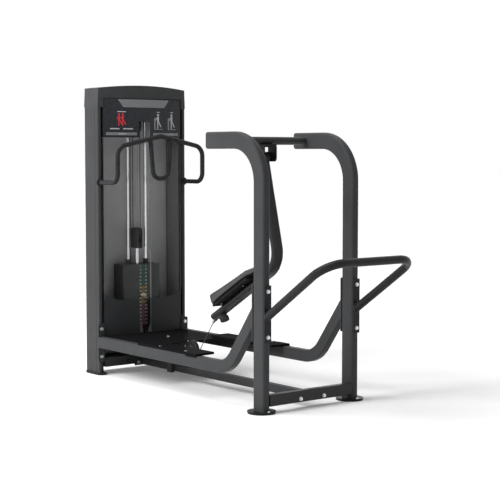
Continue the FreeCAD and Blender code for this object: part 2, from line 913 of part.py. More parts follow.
def edge_flange(side, bottom, top):
    """The folded outer edge of a front panel, which rests on the bottom of the column's rebate."""
    return box(V(x_tower - column_rebate_depth, side * (front_half_width - panel_flange), bottom),
               V(front_x(front_half_width - panel_flange / 2), side * front_half_width, top))


def slot_flange(side, bottom, top):
    """The edge of a front panel beside the slot, folded back."""
    inner = slot_half_width
    outer = slot_half_width + panel_flange
    return box(V(front_x(inner) - slot_flange_depth, side * inner, bottom),
               V(front_x(outer), side * outer, top))


def placard():
    """The instruction panel over the shields, with a notch over the slot."""
    half = front_half_width
    bottom = placard_bottom + panel_joint
    panel = front_panel(-half, half, bottom, cap_recess_bottom, 0, panel_thickness)
    flanges = [edge_flange(side, bottom, column_height) for side in SIDES]
    panel = join([panel] + flanges)
    x = x_tower - column_depth / 2
    low = placard_bottom - overrun
    outline = rounded_outline(V(x, 0, (low + slot_top) / 2), AXIS_Y, AXIS_Z, 2 * slot_half_width,
                              slot_top - low, slot_corner)
    square = box(V(x, -slot_half_width, low),
                 V(x_tower + 2 * front_bulge, slot_half_width, slot_top - slot_corner))
    return panel.cut([front_cutter(outline), square])


def cap_block(half_width, bottom, top_edge, crown, inset):
    """A block with the tower's plan outline, drawn in by an inset, and a crowned top."""
    back = x_column_back + inset
    front = x_tower - inset
    arc = Part.Arc(V(front, -half_width, 0), V(front + front_bulge, 0, 0), V(front, half_width, 0)).toShape()
    edges = [
        arc,
        Part.LineSegment(V(front, half_width, 0), V(back, half_width, 0)).toShape(),
        Part.LineSegment(V(back, half_width, 0), V(back, -half_width, 0)).toShape(),
        Part.LineSegment(V(back, -half_width, 0), V(front, -half_width, 0)).toShape(),
    ]
    plan = Part.Face(Part.Wire(Part.__sortEdges__(edges)))
    plan.translate(AXIS_Z * bottom)
    solid = plan.extrude(AXIS_Z * (top_edge + crown - bottom))
    x = x_column_back - overrun
    crest = V(x, 0, top_edge + crown)
    side_edges = [
        Part.Arc(V(x, -half_width, top_edge), crest, V(x, half_width, top_edge)).toShape(),
        Part.LineSegment(V(x, half_width, top_edge), V(x, half_width, bottom)).toShape(),
        Part.LineSegment(V(x, half_width, bottom), V(x, -half_width, bottom)).toShape(),
        Part.LineSegment(V(x, -half_width, bottom), V(x, -half_width, top_edge)).toShape(),
    ]
    section = Part.Face(Part.Wire(Part.__sortEdges__(side_edges)))
    return solid.common(section.extrude(AXIS_X * (column_depth + 2 * front_bulge)))


def top_cap():
    """The crowned plastic cap of the tower, hollow below, with a recess over the placard."""
    edge = overall_height - cap_crown
    outer = cap_block(tower_half_width, column_height, edge, cap_crown, 0)
    for side in SIDES:
        wedge = prism([
            V(x_back, side * (tower_half_width + overrun), edge + cap_crown),
            V(x_back, side * (tower_half_width - cap_taper), edge + cap_crown),
            V(x_back, side * tower_half_width, column_height),
            V(x_back, side * (tower_half_width + overrun), column_height),
        ], AXIS_X * (column_depth + 2 * front_bulge))
        outer = outer.cut(wedge)
    inner = cap_block(tower_half_width - cap_taper - cap_wall, column_height, edge - cap_wall,
                      cap_crown, cap_wall)
    half = front_half_width + panel_joint
    recess = box(V(x_tower - column_rebate_depth, -half, column_height - overrun),
                 V(x_tower + 2 * front_bulge, half, cap_recess_bottom + panel_joint))
    return outer.cut([inner, recess])


def top_beam():
    """The beam across the tower's top, which carries the guide rods and the top pulley."""
    half = tower_half_width - column_width
    outer = box(V(x_stack - top_beam_depth / 2, -half, top_beam_bottom),
                V(x_stack + top_beam_depth / 2, half, column_height))
    bore = box(V(x_stack - top_beam_depth / 2 + tube_wall, -half, top_beam_bottom + tube_wall),
               V(x_stack + top_beam_depth / 2 - tube_wall, half, column_height - tube_wall))
    return outer.cut([bore] + [rod_socket(side) for side in SIDES])


def rod_socket(side):
    """The hole of a guide rod in the beam over it."""
    place = V(x_stack, side * rod_spacing / 2, top_beam_bottom - overrun)
    return rod(rod_radius + shaft_gap, place, place + AXIS_Z * (overrun + tube_wall + running_gap))


def base_beams():
    """Two cross beams between the columns, and the two rails on them that carry the stack."""
    half = tower_half_width - column_width
    top = base_beam_bottom + base_beam_height
    shapes = []
    for x in (x_tower - base_beam_depth, x_column_back):
        shapes.append(box(V(x, -half, base_beam_bottom), V(x + base_beam_depth, half, top)))
    for side in SIDES:
        y = side * rod_spacing / 2
        carrier = box(V(x_column_back, y - stack_rail_width / 2, top),
                      V(x_tower - panel_thickness, y + stack_rail_width / 2, top + stack_rail_height))
        shapes.append(carrier)
    return group([drilled(shape, beam_bolt_places()) for shape in shapes])


def rear_shield():
    """The sheet that closes the back of the tower; it laps over the backs of the columns."""
    half = tower_half_width - column_width + rear_panel_lap
    return box(V(x_column_back - rear_panel, -half, base_beam_bottom), V(x_column_back, half, column_height))


def guide_rods():
    """The two chromed rods that the weight plates slide on."""
    bottom = base_beam_bottom + base_beam_height + stack_rail_height
    rods = []
    for side in SIDES:
        y = side * rod_spacing / 2
        rods.append(rod(rod_radius, V(x_stack, y, bottom), V(x_stack, y, top_beam_bottom + tube_wall)))
    return group(rods)


def ring(radius, bore, low, height):
    """A short upright tube round a guide rod or a stem."""
    return rod(radius, low, low + AXIS_Z * height).cut(
        rod(bore, low - AXIS_Z * overrun, low + AXIS_Z * (height + overrun)))


def cushion_tubes():
    """Steel tubes round the guide rods that hold the rubber cushions up."""
    bottom = base_beam_bottom + base_beam_height + stack_rail_height
    height = stack_bottom - running_gap - cushion_height - bottom
    return group([ring(rod_radius + cushion_tube_wall, rod_radius + running_gap,
                       V(x_stack, side * rod_spacing / 2, bottom), height) for side in SIDES])


def stack_cushions():
    """Rubber cushions under the lowest weight plate."""
    bottom = stack_bottom - running_gap - cushion_height
    return group([ring(rod_radius + cushion_wall, rod_radius + running_gap,
                       V(x_stack, side * rod_spacing / 2, bottom), cushion_height) for side in SIDES])


# Weight stack

def weight_plate(index):
    """One cast weight plate; index counts from the lowest."""
    low = stack_bottom + index * plate_pitch
    thickness = plate_pitch - running_gap
    corner = V(x_stack - plate_depth / 2, -plate_length / 2, low)
    plate = box(corner, corner + V(plate_depth, plate_length, thickness))
    plate = round_edges(plate, plate_corner, AXIS_Z)
    holes = [rod(stem_hole, V(x_stack, 0, low - overrun), V(x_stack, 0, low + thickness + overrun))]
    for side in SIDES:
        y = side * rod_spacing / 2
        holes.append(rod(rod_hole, V(x_stack, y, low - overrun), V(x_stack, y, low + thickness + overrun)))
    middle = low + thickness / 2
    holes.append(rod(pin_hole, V(x_stack, 0, middle), V(x_stack + plate_depth, 0, middle)))
    return plate.cut(holes)


def resting_plates():
    """The plates below the selector pin."""
    return group([weight_plate(index) for index in range(plate_count - lifted_count)])


def lifted_plates():
    """The plates from the selector pin up to the one below the top plate."""
    return group([weight_plate(index) for index in range(plate_count - lifted_count, plate_count - 1)])


def top_plate():
    """The head plate of the stack, which the selector stem hangs from."""
    plate = weight_plate(plate_count - 1)
    low = stack_bottom + (plate_count - 1) * plate_pitch
    fill = ring(stem_hole + overrun, stem_radius, V(x_stack, 0, low), plate_pitch - running_gap)
    middle = low + (plate_pitch - running_gap) / 2
    pin_way = rod(pin_hole, V(x_stack, 0, middle), V(x_stack + plate_depth, 0, middle))
    return join([plate, fill]).cut(pin_way)


def selector_stem():
    """The chromed stem through the stack, bored for the pin at every plate."""
    bottom = stack_bottom
    holes = []
    for index in range(plate_count):
        middle = stack_bottom + index * plate_pitch + (plate_pitch - running_gap) / 2
        holes.append(rod(pin_radius + shaft_gap, V(x_stack - stem_radius - overrun, 0, middle),
                         V(x_stack + stem_radius + overrun, 0, middle)))
    return rod(stem_radius, V(x_stack, 0, bottom), V(x_stack, 0, stem_top)).cut(holes)


def top_plate_bushes():
    """The guide bushes on the top plate, round the guide rods."""
    bottom = stack_top - running_gap
    return group([ring(rod_radius + bush_wall, rod_radius + shaft_gap,
                       V(x_stack, side * rod_spacing / 2, bottom), bush_height) for side in SIDES])


def selector_pin():
    """The pin that picks the load, with its knob in front of the stack."""
    index = plate_count - lifted_count
    height = stack_bottom + index * plate_pitch + (plate_pitch - running_gap) / 2
    face = x_stack + plate_depth / 2 + running_gap
    start = V(x_stack - stem_radius - running_gap, 0, height)
    shank = rod(pin_radius, start, V(face, 0, height))
    shoulder = V(face + pin_knob_length / 4, 0, height)
    collar = rod(pin_radius * 2, V(face, 0, height), shoulder)
    knob = rod(pin_knob_radius, shoulder, V(face + pin_knob_length, 0, height))
    ends = [edge for edge in knob.Edges if edge.Curve.TypeId == "Part::GeomCircle"]
    knob = knob.makeFillet(pin_radius / 2, ends)
    return join([shank, collar, knob])


# Pulleys

def pulley(centre, cable_line):
    """A grooved pulley on a Y axis; cable_line is the radius of the cable's centreline."""
    rim = cable_line + pulley_rim
    half = pulley_width / 2
    body = rod(rim, centre - AXIS_Y * half, centre + AXIS_Y * half)
    groove_radius = cable_radius + running_gap
    groove = Part.makeTorus(cable_line, groove_radius, centre, AXIS_Y)
    mouth = groove_mouth(centre, cable_line, rim, groove_radius, half)
    bore = rod(axle_radius + shaft_gap, centre - AXIS_Y * pulley_width, centre + AXIS_Y * pulley_width)
    return body.cut([groove, mouth, bore])


def groove_mouth(centre, cable_line, rim, groove_radius, half):
    """The flared mouth of a pulley's groove, as a body of revolution."""
    outline = [
        V(cable_line, -groove_radius, 0), V(rim + overrun, -half + groove_radius, 0),
        V(rim + overrun, half - groove_radius, 0), V(cable_line, groove_radius, 0),
    ]
    placed = [centre + V(point.x, point.y, 0) for point in outline]
    face = Part.Face(Part.makePolygon(placed + [placed[0]]))
    return face.revolve(centre, AXIS_Y, 360)


def fork(centre, cable_line, foot_low, foot_high):
    """Two cheeks beside a pulley with the axle through them; the foot joins the cheeks."""
    inner = pulley_width / 2 + fork_gap
    outer = inner + fork_plate
    half = cable_line * fork_width_share
    shapes = []
    for side in SIDES:
        ends = (side * inner, side * outer)
        shapes.append(box(V(centre.x - half, ends[0], foot_low), V(centre.x + half, ends[1], centre.z)))
        shapes.append(rod(half, V(centre.x, ends[0], centre.z), V(centre.x, ends[1], centre.z)))
    shapes.append(box(V(centre.x - half, -outer, foot_low), V(centre.x + half, outer, foot_high)))
    shapes.append(rod(axle_radius, V(centre.x, -outer - fork_plate, centre.z),
                      V(centre.x, outer + fork_plate, centre.z)))
    return join(shapes)


def floor_centre():
    return V(x_floor_pulley, 0, floor_pulley_height)


def base_centre():
    return V(x_upright_pulley, 0, floor_pulley_height)


def top_centre():
    return V(x_upright_pulley, 0, top_pulley_height)


def stack_centre():
    return V(x_stack_pulley, 0, stack_pulley_height)


def floor_pulley_fork():
    """The fork that holds the floor pulley on the low beam."""
    foot = beam_bottom + beam_height
    clear = floor_pulley_height - pulley_cable_radius - pulley_rim - running_gap - overrun
    return fork(floor_centre(), pulley_cable_radius, foot, clear)


def base_pulley_fork():
    """The fork that holds the base pulley; it stands on the tower's two cross beams."""
    top = base_beam_bottom + base_beam_height
    clear = floor_pulley_height - pulley_cable_radius - pulley_rim - running_gap - overrun
    return fork_on_beams(fork(base_centre(), pulley_cable_radius, top, clear), top, clear)


def fork_on_beams(shape, low, high):
    """A fork with a plate that reaches from the rear cross beam to the front one."""
    outer = pulley_width / 2 + fork_gap + fork_plate
    plate = box(V(x_column_back + base_beam_depth / 2, -outer, low),
                V(x_tower - base_beam_depth / 2, outer, high))
    return join([shape, plate])


def top_pulley_fork():
    """The fork of the top pulley under the top beam, with the cheeks that hold the cable's anchor."""
    inner = pulley_width / 2 + fork_gap
    outer = inner + fork_plate
    centre = top_centre()
    half = pulley_cable_radius / 2
    x_anchor = x_stack_pulley - stack_pulley_radius
    rim = pulley_cable_radius + pulley_rim + running_gap
    shapes = []
    for side in SIDES:
        shapes.append(box(V(x_anchor - anchor_block / 2, side * inner, anchor_height),
                          V(centre.x + half, side * outer, top_beam_bottom)))
    shapes.append(rod(axle_radius, V(centre.x, -outer - fork_plate, centre.z),
                      V(centre.x, outer + fork_plate, centre.z)))
    anchor_top = min(anchor_height + anchor_block, centre.z - rim)
    shapes.append(box(V(x_anchor - anchor_block / 2, -outer, anchor_height),
                      V(x_anchor + anchor_block / 2, outer, anchor_top)))
    return join(shapes)


def pulley_block():
    """The block on the selector stem that carries the stack pulley."""
    inner = pulley_width / 2 + fork_gap
    outer = inner + fork_plate
    centre = stack_centre()
    half = stack_pulley_radius
    bottom = stem_top - stem_overlap
    clear = centre.z - stack_pulley_radius - pulley_rim - running_gap - overrun
    shapes = []
    for side in SIDES:
        cheek = box(V(centre.x - half, side * inner, bottom),
                    V(centre.x + half, side * outer, centre.z + half))
        shapes.append(round_edges(cheek, stem_overlap, AXIS_Y))
    shapes.append(box(V(centre.x - half + stem_overlap, -outer, bottom),
                      V(centre.x + half - stem_overlap, outer, clear)))
    shapes.append(rod(axle_radius, V(centre.x, -outer - fork_plate, centre.z),
                      V(centre.x, outer + fork_plate, centre.z)))
    stem = rod(stem_radius, V(x_stack, 0, bottom - overrun), V(x_stack, 0, stem_top))
    return join(shapes).cut(stem)


# Cable

def arm_frame():
    """The start of the arm's lower run on its upper face, its direction, and the way off its face."""
    slope = math.radians(arm_slope)
    along = V(-math.cos(slope), 0, -math.sin(slope))
    away = V(-math.sin(slope), 0, math.cos(slope))
    return elbow(), along, away


def elbow():
    """Where the centrelines of the arm's two runs would meet."""
    drop = pivot_height - arm_elbow_height
    return V(x_pivot + drop * math.tan(math.radians(arm_tilt)), 0, arm_elbow_height)


def on_arm(distance, lift, y=0.0):
    """A point by its distance along the lower run and its lift over the arm's centreline."""
    start, along, away = arm_frame()
    return start + along * distance + away * lift + AXIS_Y * y


def cable_eye():
    """The hole of the lug at the arm's end, where the cable is hung."""
    return on_arm(arm_lower_length + arm_cap + lug_length - lug_width / 2, -lug_drop)


def tangent_point(centre, radius, point, turn):
    """Where a line from a point touches a circle in the plane of the swing; turn picks the side."""
    reach = point - centre
    distance = reach.Length
    base = math.atan2(reach.z, reach.x)
    angle = base + turn * math.acos(radius / distance)
    return centre + V(radius * math.cos(angle), 0, radius * math.sin(angle))


def floor_tangent():
    """Where the lever's cable leaves the floor pulley."""
    return tangent_point(floor_centre(), pulley_cable_radius, cable_eye(), -1)


def arm_cable():
    """The free stretch of cable from the floor pulley to the lever's lug."""
    start = floor_tangent()
    end = cable_eye()
    towards = (end - start).normalize()
    return rod(cable_radius, start, end - towards * (lug_width / 2 + running_gap))


def arc_edge(centre, radius, start_angle, end_angle):
    """An arc in the plane of the swing between two angles in degrees, from +X towards +Z."""
    angles = (start_angle, (start_angle + end_angle) / 2, end_angle)
    points = [centre + V(radius * math.cos(math.radians(a)), 0, radius * math.sin(math.radians(a)))
              for a in angles]
    return Part.Arc(*points).toShape()


def frame_cable():
    """The cable from the floor pulley, under the deck, up the tower and over the top pulley."""
    radius = pulley_cable_radius
    touch = floor_tangent() - floor_centre()
    first_angle = math.degrees(math.atan2(touch.z, touch.x))
    low = AXIS_Z * -radius
    edges = [
        arc_edge(floor_centre(), radius, first_angle, -90),
        Part.LineSegment(floor_centre() + low, base_centre() + low).toShape(),
        arc_edge(base_centre(), radius, -90, -180),
        Part.LineSegment(base_centre() - AXIS_X * radius, top_centre() - AXIS_X * radius).toShape(),
        arc_edge(top_centre(), radius, 180, 90),
        arc_edge(top_centre(), radius, 90, 0),
        Part.LineSegment(top_centre() + AXIS_X * radius,
                         V(x_upright_pulley + radius, 0, anchor_height)).toShape(),
    ]
    return round_bar(Part.Wire(edges), cable_radius)


def stack_cable():
    """The two strands between the top of the tower and the stack pulley."""
    strands = []
    for side in (-1, 1):
        x = x_stack_pulley + side * stack_pulley_radius
        strands.append(rod(cable_radius, V(x, 0, stack_pulley_height), V(x, 0, anchor_height)))
    return group(strands)


def pulley_bight():
    """The half turn of cable under the stack pulley."""
    edges = [arc_edge(stack_centre(), stack_pulley_radius, 0, -90),
             arc_edge(stack_centre(), stack_pulley_radius, -90, -180)]
    return round_bar(Part.Wire(edges), cable_radius)


# Handle

def handle():
    """The M-shaped handle on the tower's front: an outer hoop, an inner loop and two flanges."""
    x_plane = x_tower + handle_reach
    half = frame_centre
    handle_shoulder = handle_foot_height + handle_shoulder_rise
    handle_peak = handle_foot_height + handle_peak_rise
    hoop = route([
        V(x_tower, -half, handle_foot_height), V(x_plane, -half, handle_foot_height),
        V(x_plane, -half, handle_shoulder), V(x_plane, 0, handle_peak),
        V(x_plane, half, handle_shoulder), V(x_plane, half, handle_foot_height),
        V(x_tower, half, handle_foot_height),
    ], [handle_foot_bend, handle_shoulder_bend, handle_peak_bend, handle_shoulder_bend, handle_foot_bend])
    drop = (handle_peak - handle_shoulder) / half
    loop_top = handle_peak - loop_top_half_width * drop
    low = handle_foot_height + loop_rise
    loop = route([
        V(x_plane, -loop_top_half_width, loop_top), V(x_plane, -loop_half_width, low),
        V(x_plane, loop_half_width, low), V(x_plane, loop_top_half_width, loop_top),
    ], [loop_bend, loop_bend])
    shapes = [round_bar(hoop, handle_radius), round_bar(loop, loop_radius)]
    for side in SIDES:
        start = V(x_tower, side * half, handle_foot_height)
        shapes.append(rod(handle_flange_radius, start, start + AXIS_X * handle_flange))
    return join(shapes)


# Lever

def arm_path():
    """The centreline of the arm from below the hub to its lower end."""
    start = V(x_pivot, 0, pivot_height)
    end = on_arm(arm_lower_length, 0)
    return route([start, elbow(), end], [arm_bend])


def arm_tube():
    """The bent flat-oval tube of the lever, notched under its hub."""
    path = arm_path()
    tilt = math.radians(arm_tilt)
    across = V(math.cos(tilt), 0, math.sin(tilt))
    tube = oval_pipe(path, across, AXIS_Y, arm_depth, arm_width, arm_corner, tube_wall)
    return tube.cut(hub_cylinder(hub_radius, arm_width))


def hub_cylinder(radius, length):
    """A cylinder on the pivot's axis."""
    return rod(radius, V(x_pivot, -length / 2, pivot_height), V(x_pivot, length / 2, pivot_height))


def arm_hub():
    """The hub tube at the arm's upper end."""
    return hub_cylinder(hub_radius, arm_width).cut(hub_cylinder(hub_bore, arm_width))


def hub_bushes():
    """A bush in each end of the hub, round the pivot shaft."""
    length = arm_width / 4
    bushes = []
    for side in SIDES:
        ends = [V(x_pivot, side * (arm_width / 2 - length), pivot_height),
                V(x_pivot, side * arm_width / 2, pivot_height)]
        bushes.append(rod(hub_bore, *ends).cut(rod(shaft_radius + shaft_gap, *ends)))
    return group(bushes)


def arm_end_cap():
    """The steel plate on the arm's lower end, with the lug that the cable hangs from."""
    _, along, away = arm_frame()
    outline = rounded_outline(on_arm(arm_lower_length, 0), AXIS_Y, away, arm_width, arm_depth, arm_corner)
    plate = Part.Face(outline).extrude(along * arm_cap)
    half = lug_width / 2
    near = arm_lower_length + arm_cap
    far = near + lug_length - half
    corners = [on_arm(near, -lug_drop - half), on_arm(far, -lug_drop - half),
               on_arm(far, -lug_drop + half), on_arm(near, -lug_drop + half)]
    block = prism([point - AXIS_Y * (lug_thickness / 2) for point in corners], AXIS_Y * lug_thickness)
    eye = cable_eye()
    nose = rod(half, eye - AXIS_Y * (lug_thickness / 2), eye + AXIS_Y * (lug_thickness / 2))
    hole = rod(bolt_radius, eye - AXIS_Y * lug_thickness, eye + AXIS_Y * lug_thickness)
    return join([plate, block, nose]).cut(hole)


def pad_board():
    """The board under the pad, on its two brackets."""
    low = arm_depth / 2 + pad_bracket_thickness
    high = low + pad_board_thickness
    start = pad_end - pad_length * pad_board_share
    end = pad_end + pad_board_overhang
    corners = [on_arm(start, low), on_arm(end, low), on_arm(end, high), on_arm(start, high)]
    half = pad_width / 2 - pad_board_inset
    return prism([point - AXIS_Y * half for point in corners], AXIS_Y * (2 * half))


def pad_brackets():
    """Flat cross plates between the arm's upper face and the board."""
    low = arm_depth / 2
    shapes = []
    for share in pad_bracket_shares:
        back = pad_end - pad_length * share - pad_bracket_width / 2
        front = back + pad_bracket_width
        corners = [on_arm(back, low), on_arm(front, low),
                   on_arm(front, low + pad_bracket_thickness),
                   on_arm(back, low + pad_bracket_thickness)]
        reach = pad_bracket_length / 2
        shapes.append(prism([point - AXIS_Y * reach for point in corners], AXIS_Y * (2 * reach)))
    return group(shapes)


def pad_screws():
    """The screws that hold the board to the brackets, seen from below beside the arm."""
    _, _, away = arm_frame()
    shapes = []
    for share in pad_bracket_shares:
        for side in SIDES:
            y = side * (arm_width / 2 + pad_bracket_length / 2) / 2
            seat = on_arm(pad_end - pad_length * share, arm_depth / 2, y)
            shapes.append(rod(pad_screw_radius, seat, seat - away * pad_screw_height))
    return group(shapes)


def pad_section(distance, low, thickness, half):
    """A cross-section of the pad: flat below, drawn-in sides, crowned above."""
    _, _, away = arm_frame()
    r = min(pad_side_round, thickness * pad_thin_round_share)
    base = on_arm(distance, low)

    def at(y, lift):
        return base + AXIS_Y * y + away * lift

    shoulder = thickness - pad_crown
    share = 1 - math.sqrt(0.5)
    edges = [
        Part.LineSegment(at(-half + r, 0), at(half - r, 0)).toShape(),
        Part.Arc(at(half - r, 0), at(half - r * share, r * share), at(half, r)).toShape(),
        Part.LineSegment(at(half, r), at(half, shoulder - r)).toShape(),
        Part.Arc(at(half, shoulder - r), at(half - r * share, shoulder - r * share),
                 at(half - r, shoulder)).toShape(),
        Part.Arc(at(half - r, shoulder), at(0, thickness), at(-half + r, shoulder)).toShape(),
        Part.Arc(at(-half + r, shoulder), at(-half + r * share, shoulder - r * share),
                 at(-half, shoulder - r)).toShape(),
        Part.LineSegment(at(-half, shoulder - r), at(-half, r)).toShape(),
        Part.Arc(at(-half, r), at(-half + r * share, r * share), at(-half + r, 0)).toShape(),
    ]
    return Part.Wire(edges)


def pad():
    """The upholstered pad: thick at its low end, thinner above, bending down over its nose."""
    seat = arm_depth / 2 + pad_bracket_thickness + pad_board_thickness + running_gap
    half = pad_width / 2
    soft = pad_side_round
    upper = pad_end - pad_length * pad_upper_share
    nose = pad_nose_place
    stations = [
        (pad_end, 0, pad_low_thickness - 2 * pad_end_round, pad_end_round),
        (pad_end - pad_end_round, 0, pad_low_thickness, 0),
        (upper, 0, pad_upper_thickness, 0),
        ((upper + nose) / 2, pad_nose_drop * pad_bend_share, pad_upper_thickness, 0),
        (nose, pad_nose_drop, pad_nose_thickness, 0),
        (nose - soft, pad_nose_drop, pad_nose_thickness - soft, soft / 2),
    ]
    sections = [pad_section(distance, seat - drop, thickness, half - inset)
                for distance, drop, thickness, inset in stations]
    board_start = pad_end - pad_length * pad_board_share - overrun
    board_end = pad_end + pad_board_overhang + overrun
    below = [on_arm(board_start, seat - overrun), on_arm(board_end, seat - overrun),
             on_arm(board_end, seat), on_arm(board_start, seat)]
    flat = prism([point - AXIS_Y * pad_width for point in below], AXIS_Y * (2 * pad_width))
    return Part.makeLoft(sections, True, True).cut(flat)


def bumper():
    """The rubber bumper under the arm's low end."""
    _, _, away = arm_frame()
    top = on_arm(bumper_place, -arm_depth / 2)
    waist = rod(bumper_waist, top, top - away * (bumper_height / 3))
    body_start = top - away * (bumper_height / 3)
    body = rod(bumper_radius, body_start, top - away * bumper_height)
    rims = [edge for edge in body.Edges if edge.Curve.TypeId == "Part::GeomCircle"]
    body = body.makeFillet(bumper_height / 8, rims)
    return join([waist, body])


def parts():
    """Every node's name and shape."""
    return {
        "near_post": post(NEAR),
        "far_post": post(FAR),
        "end_plugs": end_plugs(),
        "crossbar": crossbar(),
        "pivot_bracket": pivot_bracket(),
        "pivot_shaft": pivot_shaft(),
        "cross_member": cross_member(),
        "low_beam": low_beam(),
        "near_rail": rail(NEAR),
        "far_rail": rail(FAR),
        "guard_rail": guard_rail(),
        "floor_plates": floor_plates(),
        "foot_pads": foot_pads(),
        "frame_bolts": frame_bolts(),
        "deck": deck(),
        "near_foot_plate": foot_plate(NEAR),
        "far_foot_plate": foot_plate(FAR),
        "deck_screws": deck_screws(),
        "deck_supports": deck_supports(),
        "near_column": column(NEAR),
        "far_column": column(FAR),
        "top_cap": top_cap(),
        "top_beam": top_beam(),
        "base_beams": base_beams(),
        "rear_shield": rear_shield(),
        "placard": placard(),
        "near_shield": shield(NEAR),
        "far_shield": shield(FAR),
        "lower_covers": lower_covers(),
        "handle": handle(),
        "guide_rods": guide_rods(),
        "cushion_tubes": cushion_tubes(),
        "stack_cushions": stack_cushions(),
        "resting_plates": resting_plates(),
        "lifted_plates": lifted_plates(),
        "top_plate": top_plate(),
        "top_plate_bushes": top_plate_bushes(),
        "selector_stem": selector_stem(),
        "selector_pin": selector_pin(),
        "pulley_block": pulley_block(),
        "stack_pulley": pulley(stack_centre(), stack_pulley_radius),
        "floor_pulley": pulley(floor_centre(), pulley_cable_radius),
        "floor_pulley_fork": floor_pulley_fork(),
        "base_pulley": pulley(base_centre(), pulley_cable_radius),
        "base_pulley_fork": base_pulley_fork(),
        "top_pulley": pulley(top_centre(), pulley_cable_radius),
        "top_pulley_fork": top_pulley_fork(),
        "arm_cable": arm_cable(),
        "frame_cable": frame_cable(),
        "stack_cable": stack_cable(),
        "pulley_bight": pulley_bight(),
        "arm_tube": arm_tube(),
        "arm_hub": arm_hub(),
        "hub_bushes": hub_bushes(),
        "arm_end_cap": arm_end_cap(),
        "pad": pad(),
        "pad_board": pad_board(),
        "pad_brackets": pad_brackets(),
        "pad_screws": pad_screws(),
        "bumper": bumper(),
    }


os.makedirs("parts", exist_ok=True)
for name, shape in parts().items():
    extent = shape.BoundBox
    volume = shape.Volume / 1000
    print(f"{name:20s} solids {len(shape.Solids):2d} valid {shape.isValid()} volume {volume:9.1f} cm3")
    print(f"    x {extent.XMin:8.1f} {extent.XMax:8.1f} y {extent.YMin:7.1f} {extent.YMax:7.1f} "
          f"z {extent.ZMin:7.1f} {extent.ZMax:7.1f}")
    shape.exportStep(f"parts/{name}.step")
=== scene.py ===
"""Standing rear kick machine: materials, detail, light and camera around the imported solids.

Lengths are in metres, in the frame of the part: +X from the weight tower towards the guard rail,
+Y from the near side to the far side, +Z up, with the origin on the floor.
"""
import json
import math

import bmesh
import bpy
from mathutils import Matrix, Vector
from mathutils.bvhtree import BVHTree


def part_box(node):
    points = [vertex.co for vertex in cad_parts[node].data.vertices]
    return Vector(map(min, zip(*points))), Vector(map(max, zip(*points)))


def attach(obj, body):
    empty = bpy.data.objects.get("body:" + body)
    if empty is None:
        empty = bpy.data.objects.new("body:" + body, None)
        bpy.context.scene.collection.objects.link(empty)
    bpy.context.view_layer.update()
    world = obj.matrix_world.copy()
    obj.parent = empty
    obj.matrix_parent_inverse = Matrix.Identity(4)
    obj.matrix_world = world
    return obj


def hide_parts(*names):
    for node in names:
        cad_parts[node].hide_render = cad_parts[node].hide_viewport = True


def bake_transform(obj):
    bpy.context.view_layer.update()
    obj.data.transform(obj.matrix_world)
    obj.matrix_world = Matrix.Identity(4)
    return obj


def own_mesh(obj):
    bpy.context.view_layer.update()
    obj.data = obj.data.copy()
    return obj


NEAR = -1
FAR = 1
SIDES = (NEAR, FAR)
MM = 0.001

# Camera
camera_place = Vector((6.5501, -5.1419, 1.4790))
camera_tilt = 85.90
camera_turn = 51.35
focal_pixels = 1345.8
photo_pixels = 500
sensor_width = 36.0

# Stage and light; the spreads of the lamps are in degrees
floor_reach = 60.0
floor_near = 1.5
floor_far = 2.8
near_glow = 0.14
far_glow = 0.38
ambient = 0.22
key_place = (-1.0, -3.6, 3.3)
key_target = (-0.6, 0.0, 0.9)
key_width = 3.2
key_height = 2.0
key_power = 165.0
glint_place = (-1.0, -6.0, 3.0)
glint_spread = 12.0
glint_strength = 0.5
top_place = (-1.5, -1.5, 6.5)
top_spread = 40.0
top_strength = 1.42

# Lever
arm_tilt = math.radians(13.9)
arm_slope = math.radians(30.3)
arm_upper_drop = 0.6467
arm_half_depth = 0.020
arm_lower_length = 0.725
lug_drop = 0.012
eye_past_arm = 0.028

# Pad cover
pad_seat = 0.0363
cover_cell = 4 * MM
cover_inset = 1 * MM
cover_swell = 3 * MM
cloth_pressure = 4.0
cloth_stretch = 25.0
cloth_shear = 12.0
cloth_steps = 20
underside_limit = -0.6
outline_points = 420
outline_margin = 0.03
seam_share = 0.70
seam_step = 2.5 * MM
welt_radius = 1.5 * MM
stitch_radius = 0.5 * MM
stitch_drop = 4 * MM

# Cable
cable_radius = 2.8 * MM
cable_sides = 12
cable_end_gap = 13.3 * MM
lever_cable_steps = 80
strand_steps = 60
fitting_length = 0.034
fitting_height = 13 * MM
fork_side = 7.2 * MM
fork_thickness = 3 * MM
fork_past_eye = 8 * MM
fork_pin_half = 11 * MM
bridge_inset = 10 * MM
bridge_length = 5 * MM
bridge_width = 17 * MM

# Slot between the shields
slot_half = 0.048
slot_flange_depth = 0.015

# Tubes that have a weld round them
tube_radius = 24.15 * MM
guard_slope = math.radians(33.7)
guard_start = 0.5607
guard_plate = 8 * MM
hub_radius = 0.030
hub_weld_half = 0.030
hub_weld_rise = 0.5 * MM
post_half_depth = 0.050
post_half_width = 0.025
post_corner = 0.015
column_corner = 0.010
bead_radius = 2.2 * MM
bead_step = 2.5 * MM
bead_ripple = 0.12
foot_bolt_reach = 0.066

# Weight stack
plate_count = 17
plate_step_kg = 5
pounds_per_kg = 2.2
label_thickness = 0.4 * MM
label_share = 0.84
label_edge = 0.1 * MM
label_shift = 0.009
label_width = 0.016
number_place = 0.0225
number_size = 0.0135
number_weight = 0.0007
strip_place = 0.0070
strip_width = 0.0125
green_loads = 6
yellow_loads = 11

# Print and studs of the placard; figures stand at heights over the floor
header_depth = 0.052
header_top_half = 0.206
header_bottom_half = 0.166
header_margin = 5 * MM
red_figures = (-0.198, -0.170)
red_figure_foot = 1.664
red_figure_height = 0.082
pale_figures = (0.112, 0.232)
pale_figure_foot = 1.648
pale_figure_height = 0.100
stud_inset = 0.012
stud_rise = 0.018
stud_drop = 0.075

